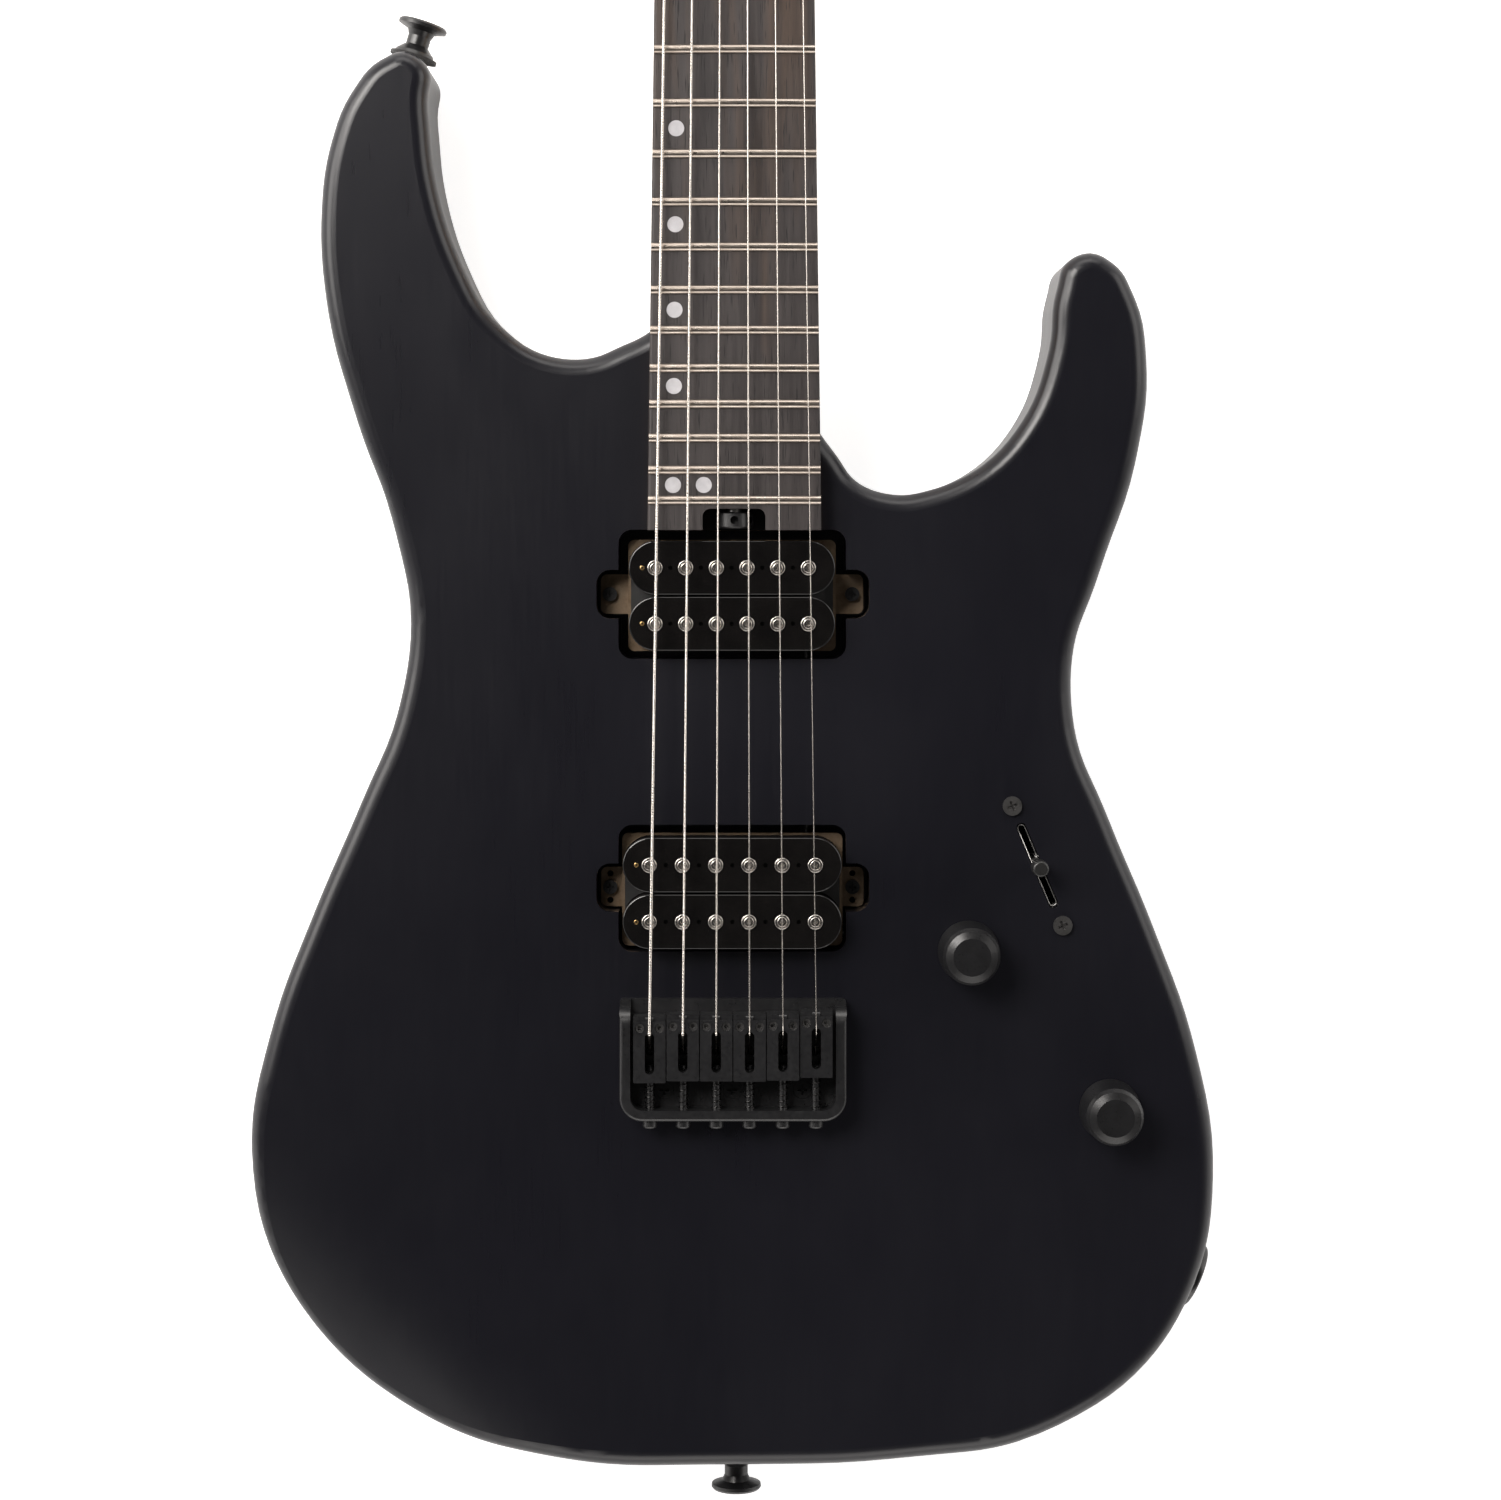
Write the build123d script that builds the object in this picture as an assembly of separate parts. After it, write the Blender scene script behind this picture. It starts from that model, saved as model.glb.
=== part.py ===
"""Electric guitar: bolt-on neck, 24 frets, two humbuckers, fixed bridge, strings through the body.

Millimetres. The guitar lies on its back: +Z out of the top, +Y towards the headstock, +X to the
treble side. The origin is on the back face, under the line where the scale length ends.
"""

from build123d import *
import math
import os

# ---------------------------------------------------------------- driving dimensions
SCALE_LENGTH = 647.7
FRET_COUNT = 24

BODY_THICKNESS = 44.5
BODY_ROUNDOVER = 5.5
BOARD_TOP = 53.9
BOARD_THICKNESS = 6.0
BOARD_BOTTOM = BOARD_TOP - BOARD_THICKNESS
BOARD_RADIUS = 400.0
BOARD_END_Y = 152.4
POCKET_FLOOR = 28.5
POCKET_END_Y = 152.0

NUT_WIDTH = 43.0
LAST_FRET_WIDTH = 55.3
LAST_FRET_Y = SCALE_LENGTH / 4
WIDTH_PER_Y = (LAST_FRET_WIDTH - NUT_WIDTH) / (SCALE_LENGTH - LAST_FRET_Y)
NUT_LENGTH = 3.2

FRET_CROWN_HEIGHT = 1.2
FRET_CROWN_WIDTH = 2.8
FRET_TANG_WIDTH = 0.6
FRET_TANG_DEPTH = 1.8
FRET_TOP = BOARD_TOP + FRET_CROWN_HEIGHT

STRING_RADII = [0.58, 0.46, 0.33, 0.22, 0.17, 0.13]
STRING_COUNT = len(STRING_RADII)
SADDLE_SPACING = 10.6
NUT_SPACING = 7.04
BRIDGE_CENTRE_X = -0.5
ACTION_AT_NUT = 0.45
ACTION_AT_SADDLE = 3.0
STRING_GAP = 0.05

HEADSTOCK_TOP = 46.0
HEADSTOCK_BOTTOM = 31.5
FIRST_POST_Y = 680.0
POST_STEP_Y = 25.0
POST_RADIUS = 3.0

RUNNING_GAP = 0.05
HEAD_GAP = 0.05

NECK_PICKUP_CENTRE = (-0.8, 131.4)
BRIDGE_PICKUP_CENTRE = (-0.7, 36.4)
CAVITY_FLOOR = 24.5
CONTROL_CEILING = 38.5

VOLUME_SPOT = (75.2, 17.1)
TONE_SPOT = (120.6, -33.8)
SELECTOR_SPOT = (97.4, 44.6)
SELECTOR_ANGLE = -67.1
SELECTOR_SCREW_SPACING = 41.7
SELECTOR_PIVOT_Z = 29.0

JACK_SPOT = (148.4, -91.2)
JACK_ANGLE = -24.0
JACK_Z = 22.0
JACK_BORE_RADIUS = 3.25

UPPER_STRAP_SPOT = (-105.7, 307.5)
UPPER_STRAP_ANGLE = 73.0
LOWER_STRAP_SPOT = (0.6, -149.7)
LOWER_STRAP_ANGLE = -90.0
STRAP_Z = 22.0


# ---------------------------------------------------------------- small helpers
def box(x0, x1, y0, y1, z0, z1):
    centre = Pos((x0 + x1) / 2, (y0 + y1) / 2, (z0 + z1) / 2)
    return centre * Box(x1 - x0, y1 - y0, z1 - z0)


def post(radius, x, y, z0, z1):
    return Pos(x, y, (z0 + z1) / 2) * Cylinder(radius, z1 - z0)


def rod(start, end, radius):
    start = Vector(*start)
    run = Vector(*end) - start
    foot = Plane(origin=start, z_dir=run)
    return foot * Cylinder(radius, run.length, align=(Align.CENTER, Align.CENTER, Align.MIN))


def spin(profile):
    """Turn a closed (radius, z) outline about the Z axis."""
    corners = [(r, 0, z) for r, z in profile]
    face = make_face(Polyline(*corners, close=True))
    return revolve(face, Axis.Z)


def rounded_prism(points, z0, z1, radius):
    outline = make_face(Polyline(*points, close=True))
    if radius:
        outline = fillet(outline.vertices(), radius)
    return Pos(0, 0, z0) * extrude(outline, z1 - z0)


def stadium(length, width, height):
    return extrude(SlotOverall(length, width), height)


def group(solids):
    return Compound(children=list(solids))


def aim(x, y, z, angle):
    """A frame at a point, its Z axis level and turned by angle from +X."""
    a = math.radians(angle)
    sideways = (-math.sin(a), math.cos(a), 0)
    outward = (math.cos(a), math.sin(a), 0)
    return Plane(origin=(x, y, z), x_dir=sideways, z_dir=outward)


def arc_loop(points):
    """A closed smooth outline through the points: two tangent arcs from each point to the next."""
    points = [Vector(*p) for p in points]
    count = len(points)
    headings = []
    for i in range(count):
        before = points[i] - points[i - 1]
        after = points[(i + 1) % count] - points[i]
        ratio = after.length / before.length
        headings.append((before * ratio + after / ratio).normalized())
    arcs = []
    for i in range(count):
        start = points[i]
        end = points[(i + 1) % count]
        leaving = headings[i]
        arriving = headings[(i + 1) % count]
        run = end - start
        along = run.dot(leaving + arriving)
        bend = 2 * (1 - leaving.dot(arriving))
        if bend < 1e-6:
            reach = run.dot(run) / (2 * along)
        else:
            reach = (math.sqrt(along * along + 2 * bend * run.dot(run)) - along) / (2 * bend)
        middle = (start + leaving * reach + end - arriving * reach) / 2
        arcs.append(TangentArc(start, middle, tangent=leaving))
        arcs.append(TangentArc(end, middle, tangent=-arriving))
    return make_face(arcs)


# ---------------------------------------------------------------- screws
class ScrewSize:
    def __init__(self, head_radius, head_height, shank_radius, length, flat=True):
        self.head_radius = head_radius
        self.head_height = head_height
        self.shank_radius = shank_radius
        self.length = length
        self.flat = flat

    def profile(self, gap=0.0, lift=0.0):
        head = self.head_radius + gap
        shank = self.shank_radius + gap
        tip = -self.length - gap
        head_foot = [] if self.flat else [(head, -self.head_height)]
        return [
            (0, lift),
            (head, lift),
            (head, -0.3),
            *head_foot,
            (shank, -self.head_height),
            (shank, tip + shank),
            (0.2, tip),
            (0, tip),
        ]

    def solid(self):
        body = spin(self.profile())
        arm = self.head_radius * 1.05
        depth = self.head_height * 0.62
        cross = [Box(arm, arm * 0.24, depth * 2), Box(arm * 0.24, arm, depth * 2)]
        return body - cross

    def void(self, lift=2.0):
        return spin(self.profile(HEAD_GAP, lift))


SMALL_SCREW = ScrewSize(2.6, 1.5, 1.2, 10.0)
BRIDGE_SCREW = ScrewSize(2.9, 1.9, 1.75, 28.0)
NECK_SCREW = ScrewSize(4.3, 2.6, 2.2, 41.0)
SELECTOR_SCREW = ScrewSize(3.1, 1.9, 1.5, 9.2)
PICKUP_SCREW = ScrewSize(2.3, 1.7, 1.3, 20.0, flat=False)


# ---------------------------------------------------------------- strings and fret geometry
def fret_y(number):
    return SCALE_LENGTH * 2 ** (-number / 12)


def board_width(y):
    return NUT_WIDTH + (SCALE_LENGTH - y) * WIDTH_PER_Y


def crown_drop(x):
    return x * x / (2 * BOARD_RADIUS)


def saddle_x(index):
    return BRIDGE_CENTRE_X + SADDLE_SPACING * (index - 2.5)


def nut_x(index):
    return NUT_SPACING * (index - 2.5)


def saddle_crest(index):
    return FRET_TOP + ACTION_AT_SADDLE - crown_drop(saddle_x(index))


def nut_crest(index):
    return FRET_TOP + ACTION_AT_NUT - crown_drop(nut_x(index))


def post_place(index):
    x = nut_x(index) - STRING_RADII[index] - POST_RADIUS + 0.3
    return x, FIRST_POST_Y + POST_STEP_Y * index


BREAK_Y = -7.7
THROUGH_Y = -14.6
STRING_ANCHOR_Z = 4.2
RETAINER_Y = 664.0
RETAINER_STRING_Z = 51.6
POST_STRING_Z = 51.4
BALL_RADIUS = 1.9


def make_string(index):
    radius = STRING_RADII[index]
    rise = saddle_crest(index) + radius + STRING_GAP
    rest = nut_crest(index) + radius + STRING_GAP
    line = FilletPolyline(
        (saddle_x(index), THROUGH_Y, STRING_ANCHOR_Z),
        (saddle_x(index), THROUGH_Y, 48.0),
        (saddle_x(index), BREAK_Y, rise),
        (nut_x(index), SCALE_LENGTH + NUT_LENGTH, rest),
        (nut_x(index), RETAINER_Y, RETAINER_STRING_Z),
        (nut_x(index), post_place(index)[1], POST_STRING_Z),
        radius=[1.6, 1.2, 1.5, 1.5],
    )
    wire = sweep(Plane(line @ 0, z_dir=line % 0) * Circle(radius), path=line)
    ball = Pos(saddle_x(index), THROUGH_Y, STRING_ANCHOR_Z - BALL_RADIUS * 0.8) * Sphere(BALL_RADIUS)
    return wire + ball


# ---------------------------------------------------------------- body
BODY_OUTLINE = [
    (-100.3, 303.6),
    (-106.4, 307.1),
    (-114.6, 304.3),
    (-124.3, 293.0),
    (-131.0, 275.0),
    (-133.6, 252.0),
    (-131.0, 221.0),
    (-121.8, 187.4),
    (-110.8, 156.4),
    (-104.6, 122.0),
    (-109.0, 93.0),
    (-121.0, 63.5),
    (-135.0, 31.0),
    (-148.5, -5.0),
    (-156.3, -45.0),
    (-150.8, -82.0),
    (-131.5, -113.0),
    (-97.0, -137.0),
    (-50.0, -148.2),
    (0.0, -149.3),
    (50.0, -147.6),
    (98.0, -139.6),
    (133.0, -116.5),
    (150.5, -85.5),
    (154.7, -50.0),
    (147.6, -10.0),
    (134.7, 26.0),
    (121.4, 58.0),
    (109.8, 89.0),
    (109.2, 111.5),
    (118.0, 139.0),
    (129.4, 173.5),
    (133.3, 203.0),
    (129.6, 227.0),
    (123.0, 238.2),
    (115.0, 242.1),
    (107.4, 239.0),
    (103.9, 229.5),
    (101.6, 211.0),
    (94.6, 190.5),
    (80.5, 173.8),
    (65.0, 166.0),
    (52.5, 163.9),
    (40.5, 167.5),
    (31.6, 178.5),
    (22.0, 191.0),
    (0.0, 206.0),
    (-21.0, 219.0),
    (-33.5, 213.3),
    (-48.0, 207.9),
    (-62.5, 209.6),
    (-77.5, 220.6),
    (-89.5, 242.0),
    (-96.6, 266.0),
    (-99.0, 288.0),
]

FOREARM_LINE = ((-153.0, -18.5), (-36.8, -147.7))
FOREARM_RADIUS = 92.0


def contour_tool(line, radius, face_z, upward):
    """What a contour removes: beyond the line, outside a cylinder that is tangent to the face there."""
    (x0, y0), (x1, y1) = line
    run = math.degrees(math.atan2(y1 - y0, x1 - x0))
    reach = radius * 0.98
    sign = 1 if upward else -1
    low, high = sorted((face_z - sign * reach, face_z + sign * 10.0))
    block = box(-300, 300, -reach, 0, low, high)
    drum = Pos(0, 0, face_z - sign * radius) * Rot(0, 90, 0) * Cylinder(radius, 620)
    place = Pos((x0 + x1) / 2, (y0 + y1) / 2, 0) * Rot(0, 0, run)
    return place * (block - drum)


CAVITY_CORNER = 4.5
CAVITY_X = (-37.3, 35.9)
EAR_X = (-44.4, 43.4)
NECK_CAVITY_Y = (111.0, 152.6)
NECK_EAR_Y = (124.0, 139.7)
BRIDGE_CAVITY_Y = (16.9, 57.7)
BRIDGE_EAR_Y = (29.7, 45.3)


def pickup_cavity(main_y, ear_y):
    """The pickup's room, with an ear at each end for its feet."""
    tools = []
    for (x0, x1), (y0, y1) in ((CAVITY_X, main_y), (EAR_X, ear_y)):
        corners = [(x0, y0), (x1, y0), (x1, y1), (x0, y1)]
        tools.append(rounded_prism(corners, CAVITY_FLOOR, BODY_THICKNESS + 1, CAVITY_CORNER))
    return tools[0] + tools[1]


CONTROL_OUTLINE = [
    (77.5, 73.5),
    (92.5, 73.5),
    (124.0, 3.6),
    (135.5, -44.0),
    (133.5, -80.0),
    (112.0, -84.0),
    (57.0, -4.0),
    (57.0, 32.0),
]
CONTROL_CORNER = 8.0
COVER_LEDGE = 7.5
COVER_THICKNESS = 2.0
COVER_SCREW_CORNERS = [0, 1, 3, 4, 6, 7]


def control_face():
    outline = make_face(Polyline(*CONTROL_OUTLINE, close=True))
    return fillet(outline.vertices(), CONTROL_CORNER)


def ledge_spot(index, distance):
    """A point on the cover's ledge, outside one corner of the control cavity."""
    here = Vector(*CONTROL_OUTLINE[index])
    before = (here - Vector(*CONTROL_OUTLINE[index - 1])).normalized()
    after = (here - Vector(*CONTROL_OUTLINE[(index + 1) % len(CONTROL_OUTLINE)])).normalized()
    out = (before + after).normalized()
    return here + out * distance


COVER_SCREW_PLACES = [
    Pos(ledge_spot(i, 1.5).X, ledge_spot(i, 1.5).Y, 0.15) * Rot(180, 0, 0) for i in COVER_SCREW_CORNERS
]
NECK_SCREW_SPOTS = [(-18.0, 167.0), (16.0, 163.0), (-18.0, 203.0), (10.0, 183.5)]
NECK_SCREW_PLACES = [Pos(x, y, 0.7) * Rot(180, 0, 0) for x, y in NECK_SCREW_SPOTS]
NECK_FERRULE_RADIUS = 7.0
NECK_FERRULE_DEPTH = 3.6

BRIDGE_FRONT_Y = 2.1
BRIDGE_REAR_Y = -36.0
BRIDGE_X0 = -36.7
BRIDGE_X1 = 35.8
BRIDGE_FLOOR = BODY_THICKNESS + 2.0
BRIDGE_WALL_TOP = 55.2
BRIDGE_WALL = 3.5
BRIDGE_SCREW_SPOTS = [(-22.5, -27.1), (-0.7, -27.1), (21.8, -27.1)]
BRIDGE_SCREW_PLACES = [Pos(x, y, BRIDGE_FLOOR) for x, y in BRIDGE_SCREW_SPOTS]

STRING_FERRULE_RADIUS = 4.0
STRING_FERRULE_DEPTH = 9.0
STRING_HOLE_RADIUS = 1.6

SELECTOR_PLACE = Pos(SELECTOR_SPOT[0], SELECTOR_SPOT[1], 0) * Rot(0, 0, SELECTOR_ANGLE)
SELECTOR_SCREW_PLACES = [
    SELECTOR_PLACE * Pos(side * SELECTOR_SCREW_SPACING / 2, 0, BODY_THICKNESS + 1.2) for side in (-1, 1)
]
SELECTOR_SLOT_LENGTH = 29.6
SELECTOR_SLOT_WIDTH = 3.2
POT_BUSHING_RADIUS = 4.7

JACK_FRAME = aim(JACK_SPOT[0], JACK_SPOT[1], JACK_Z, JACK_ANGLE)
JACK_BARREL_RADIUS = 6.35
JACK_INNER_END = -34.0

STRAP_FRAMES = [
    aim(UPPER_STRAP_SPOT[0], UPPER_STRAP_SPOT[1], STRAP_Z, UPPER_STRAP_ANGLE),
    aim(LOWER_STRAP_SPOT[0], LOWER_STRAP_SPOT[1], STRAP_Z, LOWER_STRAP_ANGLE),
]
STRAP_SCREW_PLACES = [frame * Pos(0, 0, 12.3) for frame in STRAP_FRAMES]

WIRE_CHANNEL_RADIUS = 3.5
WIRE_CHANNEL_Z = 29.0
NECK_CHANNEL_X = 24.0
CONTROL_CHANNEL_Y = 22.0

PICKUP_SCREW_HALF_SPACING = 39.3
NECK_PICKUP_TOP = 50.9
BRIDGE_PICKUP_TOP = 52.4
NECK_PICKUP_SIZE = (66.0, 17.3)
BRIDGE_PICKUP_SIZE = (70.0, 17.5)
LEG_FOOT_Z = 33.0
PICKUP_TRAVEL_DOWN = 3.0


def pickup_screw_places(centre):
    places = []
    for side in (-1, 1):
        x = centre[0] - 0.3 + side * PICKUP_SCREW_HALF_SPACING
        places.append(Pos(x, centre[1] + 0.4, LEG_FOOT_Z + 1.2 + PICKUP_SCREW.head_height + 0.02))
    return places


def body_rim(body):
    """Edges round the top and back faces, without the upright ones and the contour's start line."""
    rim = []
    for edge in body.edges():
        upright = abs((edge @ 0).Z - (edge @ 1).Z) > 10.0
        contour_start = edge.geom_type == GeomType.LINE and edge.length > 100.0
        if not upright and not contour_start:
            rim.append(edge)
    return rim


def make_body_blank():
    body = extrude(arc_loop(BODY_OUTLINE), BODY_THICKNESS)
    body -= contour_tool(FOREARM_LINE, FOREARM_RADIUS, BODY_THICKNESS, True)
    return fillet(body_rim(body), BODY_ROUNDOVER)


def neck_pocket_tool():
    gap = 0.1
    near = board_width(POCKET_END_Y) / 2 + gap
    far = board_width(260.0) / 2 + gap
    corners = [(-near, POCKET_END_Y), (near, POCKET_END_Y), (far, 260.0), (-far, 260.0)]
    return rounded_prism(corners, POCKET_FLOOR, BODY_THICKNESS + 20, 0)


def make_body():
    body = make_body_blank()
    top = BODY_THICKNESS + 1
    tools = [neck_pocket_tool()]
    tools.append(pickup_cavity(NECK_CAVITY_Y, NECK_EAR_Y))
    tools.append(pickup_cavity(BRIDGE_CAVITY_Y, BRIDGE_EAR_Y))
    tools.append(extrude(control_face(), CONTROL_CEILING))
    tools.append(extrude(offset(control_face(), COVER_LEDGE), COVER_THICKNESS + 0.2))
    for x, y in (VOLUME_SPOT, TONE_SPOT):
        tools.append(post(POT_BUSHING_RADIUS + 0.1, x, y, CONTROL_CEILING - 1, top))
    slot = stadium(SELECTOR_SLOT_LENGTH, SELECTOR_SLOT_WIDTH, 10)
    tools.append(SELECTOR_PLACE * Pos(0, 0, CONTROL_CEILING - 1) * slot)
    for i in range(STRING_COUNT):
        tools.append(post(STRING_HOLE_RADIUS, saddle_x(i), THROUGH_Y, -1, top))
        tools.append(post(STRING_FERRULE_RADIUS, saddle_x(i), THROUGH_Y, -1, STRING_FERRULE_DEPTH))
    for x, y in NECK_SCREW_SPOTS:
        tools.append(post(NECK_FERRULE_RADIUS, x, y, -1, NECK_FERRULE_DEPTH))
    tools += [p * NECK_SCREW.void() for p in NECK_SCREW_PLACES]
    tools += [p * SMALL_SCREW.void() for p in COVER_SCREW_PLACES]
    tools += [p * BRIDGE_SCREW.void() for p in BRIDGE_SCREW_PLACES]
    tools += [p * BRIDGE_SCREW.void(0.1) for p in STRAP_SCREW_PLACES]
    tools += [p * SELECTOR_SCREW.void() for p in SELECTOR_SCREW_PLACES]
    for centre in (NECK_PICKUP_CENTRE, BRIDGE_PICKUP_CENTRE):
        for place in pickup_screw_places(centre):
            tools.append(place * Pos(0, 0, -PICKUP_TRAVEL_DOWN) * PICKUP_SCREW.void())
    tools.append(JACK_FRAME * Pos(0, 0, -20) * Cylinder(JACK_BARREL_RADIUS + 0.05, 44))
    tools += wire_channels()
    return body - tools


def wire_channels():
    z = WIRE_CHANNEL_Z
    between = rod((NECK_CHANNEL_X, 50, z), (NECK_CHANNEL_X, 118, z), WIRE_CHANNEL_RADIUS)
    across = rod((30, CONTROL_CHANNEL_Y, z), (62, CONTROL_CHANNEL_Y, z), WIRE_CHANNEL_RADIUS)
    return [between, across]


# ---------------------------------------------------------------- neck
HEEL_END_Y = 236.0
SHAFT_STATIONS = [
    (228.0, 17.4, 0.93, 0.68),
    (324.0, 16.0, 0.92, 0.66),
    (612.0, 14.0, 0.91, 0.64),
    (643.0, 14.3, 0.92, 0.68),
]
HEADSTOCK_OUTLINE = [
    (-21.6, 648.0),
    (-24.5, 656.0),
    (-33.0, 664.5),
    (-34.6, 676.0),
    (-27.6, 705.0),
    (-16.4, 745.0),
    (-5.2, 785.0),
    (0.6, 812.0),
    (4.0, 830.0),
    (14.0, 838.5),
    (28.0, 833.0),
    (36.5, 817.0),
    (36.4, 797.0),
    (32.0, 768.0),
    (29.4, 738.0),
    (29.2, 708.0),
    (29.4, 682.0),
    (27.2, 667.0),
    (23.2, 657.0),
    (21.6, 648.0),
]
TRUSS_NOTCH = (-10.2, 9.9, 159.2)
WHEEL_CENTRE = (0.0, 155.6, 45.4)
WHEEL_RADIUS = 6.2
WHEEL_LENGTH = 5.2
ROD_RADIUS = 2.4


def neck_section(y, depth, shoulder, low_shoulder):
    half = board_width(y) / 2
    back = BOARD_BOTTOM - depth
    plane = Plane(origin=(0, y, 0), x_dir=(1, 0, 0), z_dir=(0, -1, 0))
    flat = Line((-half, BOARD_BOTTOM), (half, BOARD_BOTTOM))
    curve = Spline(
        (half, BOARD_BOTTOM),
        (half * shoulder, BOARD_BOTTOM - depth * 0.48),
        (half * low_shoulder, BOARD_BOTTOM - depth * 0.83),
        (0, back),
        (-half * low_shoulder, BOARD_BOTTOM - depth * 0.83),
        (-half * shoulder, BOARD_BOTTOM - depth * 0.48),
        (-half, BOARD_BOTTOM),
        tangents=[(0, -1), (0, 1)],
    )
    return plane * make_face([flat, curve])


def make_heel():
    near = board_width(BOARD_END_Y) / 2
    far = board_width(HEEL_END_Y) / 2
    corners = [(-near, BOARD_END_Y), (near, BOARD_END_Y), (far, HEEL_END_Y), (-far, HEEL_END_Y)]
    heel = rounded_prism(corners, POCKET_FLOOR + 0.02, BOARD_BOTTOM, 0)
    underside = [e for e in heel.edges().filter_by(Axis.X) if e.center().Z < 40 and e.center().Y > 200]
    return fillet(underside, 8.0)


def make_headstock():
    plate = extrude(arc_loop(HEADSTOCK_OUTLINE), HEADSTOCK_TOP - HEADSTOCK_BOTTOM)
    plate = Pos(0, 0, HEADSTOCK_BOTTOM) * plate
    rim = [e for e in plate.edges() if abs((e @ 0).Z - (e @ 1).Z) < 0.1]
    return fillet(rim, 1.6)


def nut_shelf():
    """The ramp from under the nut down to the headstock's face."""
    half = NUT_WIDTH / 2
    side = Plane(origin=(-half, 0, 0), x_dir=(0, 1, 0), z_dir=(1, 0, 0))
    outline = make_face(
        Polyline(
            (640.0, HEADSTOCK_BOTTOM + 2.4),
            (640.0, BOARD_BOTTOM),
            (651.6, BOARD_BOTTOM),
            (660.0, HEADSTOCK_TOP),
            (668.0, HEADSTOCK_TOP),
            (668.0, HEADSTOCK_BOTTOM + 2.4),
            close=True,
        )
    )
    ramp = extrude(side * outline, NUT_WIDTH)
    edges = [e for e in ramp.edges().filter_by(Axis.Y) if e.center().Z < 36]
    return fillet(edges, 6.0)


def post_positions():
    return [post_place(i) for i in range(STRING_COUNT)]


BUSHING_BARREL_RADIUS = 4.9
POST_LINE_ANGLE = math.degrees(math.atan2(POST_STEP_Y, NUT_SPACING))
RETAINER_SCREW_SPOTS = [(-22.4, RETAINER_Y), (22.4, RETAINER_Y)]
RETAINER_SCREW_Z = 52.4


def make_neck():
    shaft = loft([neck_section(*station) for station in SHAFT_STATIONS])
    neck = shaft + make_heel() + nut_shelf() + make_headstock()
    tools = [box(TRUSS_NOTCH[0], TRUSS_NOTCH[1], BOARD_END_Y - 5, TRUSS_NOTCH[2], 38.5, BOARD_TOP)]
    tools.append(box(-3.1, 3.1, TRUSS_NOTCH[2] - 1, 632.0, 40.5, BOARD_TOP))
    for x, y in post_positions():
        tools.append(post(BUSHING_BARREL_RADIUS + 0.05, x, y, HEADSTOCK_BOTTOM - 1, HEADSTOCK_TOP + 1))
    tools += [p * NECK_SCREW.void() for p in NECK_SCREW_PLACES]
    tools += [p * SMALL_SCREW.void(0.2) for p in headstock_screw_places()]
    return neck - tools


def make_fingerboard():
    near = board_width(BOARD_END_Y) / 2
    far = NUT_WIDTH / 2
    corners = [(-near, BOARD_END_Y), (near, BOARD_END_Y), (far, SCALE_LENGTH), (-far, SCALE_LENGTH)]
    board = rounded_prism(corners, BOARD_BOTTOM, BOARD_TOP + 1, 0)
    notch = rounded_prism(
        [
            (TRUSS_NOTCH[0], BOARD_END_Y - 9),
            (TRUSS_NOTCH[1], BOARD_END_Y - 9),
            (TRUSS_NOTCH[1], TRUSS_NOTCH[2]),
            (TRUSS_NOTCH[0], TRUSS_NOTCH[2]),
        ],
        BOARD_BOTTOM - 1,
        BOARD_TOP + 2,
        2.6,
    )
    board = (board & crown_drum(0.0)) - notch
    long_edges = [e for e in board.edges() if e.length > 300 and e.center().Z > BOARD_BOTTOM + 2]
    board = fillet(long_edges, 1.0)
    slots = [fret_slot(n) for n in range(1, FRET_COUNT + 1)]
    dots = [dot_cylinder(x, y, 0.02) for x, y in face_dot_spots()]
    sides = [side_dot(n, 0.02) for n in SIDE_DOT_FRETS]
    return board - slots - dots - sides


def crown_drum(lift):
    """The cylinder whose top gives the fingerboard its crown."""
    drum = Cylinder(BOARD_RADIUS + lift, 560, rotation=(90, 0, 0))
    return Pos(0, 400, BOARD_TOP - BOARD_RADIUS) * drum


def fret_slot(number):
    y = fret_y(number)
    half = FRET_TANG_WIDTH / 2 + 0.02
    return box(-40, 40, y - half, y + half, BOARD_TOP - FRET_TANG_DEPTH - 1.2, BOARD_TOP + 2)


def make_fret(number):
    y = fret_y(number)
    width = board_width(y) - 0.4
    half_crown = FRET_CROWN_WIDTH / 2
    half_tang = FRET_TANG_WIDTH / 2
    side = Plane(origin=(0, y, 0), x_dir=(0, 1, 0), z_dir=(1, 0, 0))
    foot = BOARD_TOP + 0.02
    crown = ThreePointArc((-half_crown, foot + 0.25), (0, FRET_TOP), (half_crown, foot + 0.25))
    rest = Polyline(
        (half_crown, foot + 0.25),
        (half_crown, foot),
        (half_tang, foot),
        (half_tang, BOARD_TOP - FRET_TANG_DEPTH),
        (-half_tang, BOARD_TOP - FRET_TANG_DEPTH),
        (-half_tang, foot),
        (-half_crown, foot),
        (-half_crown, foot + 0.25),
    )
    turn = math.degrees(2 * math.asin(width / 2 / BOARD_RADIUS))
    axis = Axis((0, 0, BOARD_TOP - BOARD_RADIUS), (0, 1, 0))
    fret = revolve(side * make_face([crown, rest]), axis, turn)
    return fret.rotate(axis, -turn / 2)


DOT_RADIUS = 2.55
SINGLE_DOT_FRETS = [3, 5, 7, 9, 15, 17, 19, 21]
DOUBLE_DOT_FRETS = [12, 24]
SIDE_DOT_FRETS = [3, 5, 7, 9, 12, 15, 17, 19, 21, 24]
DOT_INSET = 0.355
DOUBLE_DOT_STEP = 9.8


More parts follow.
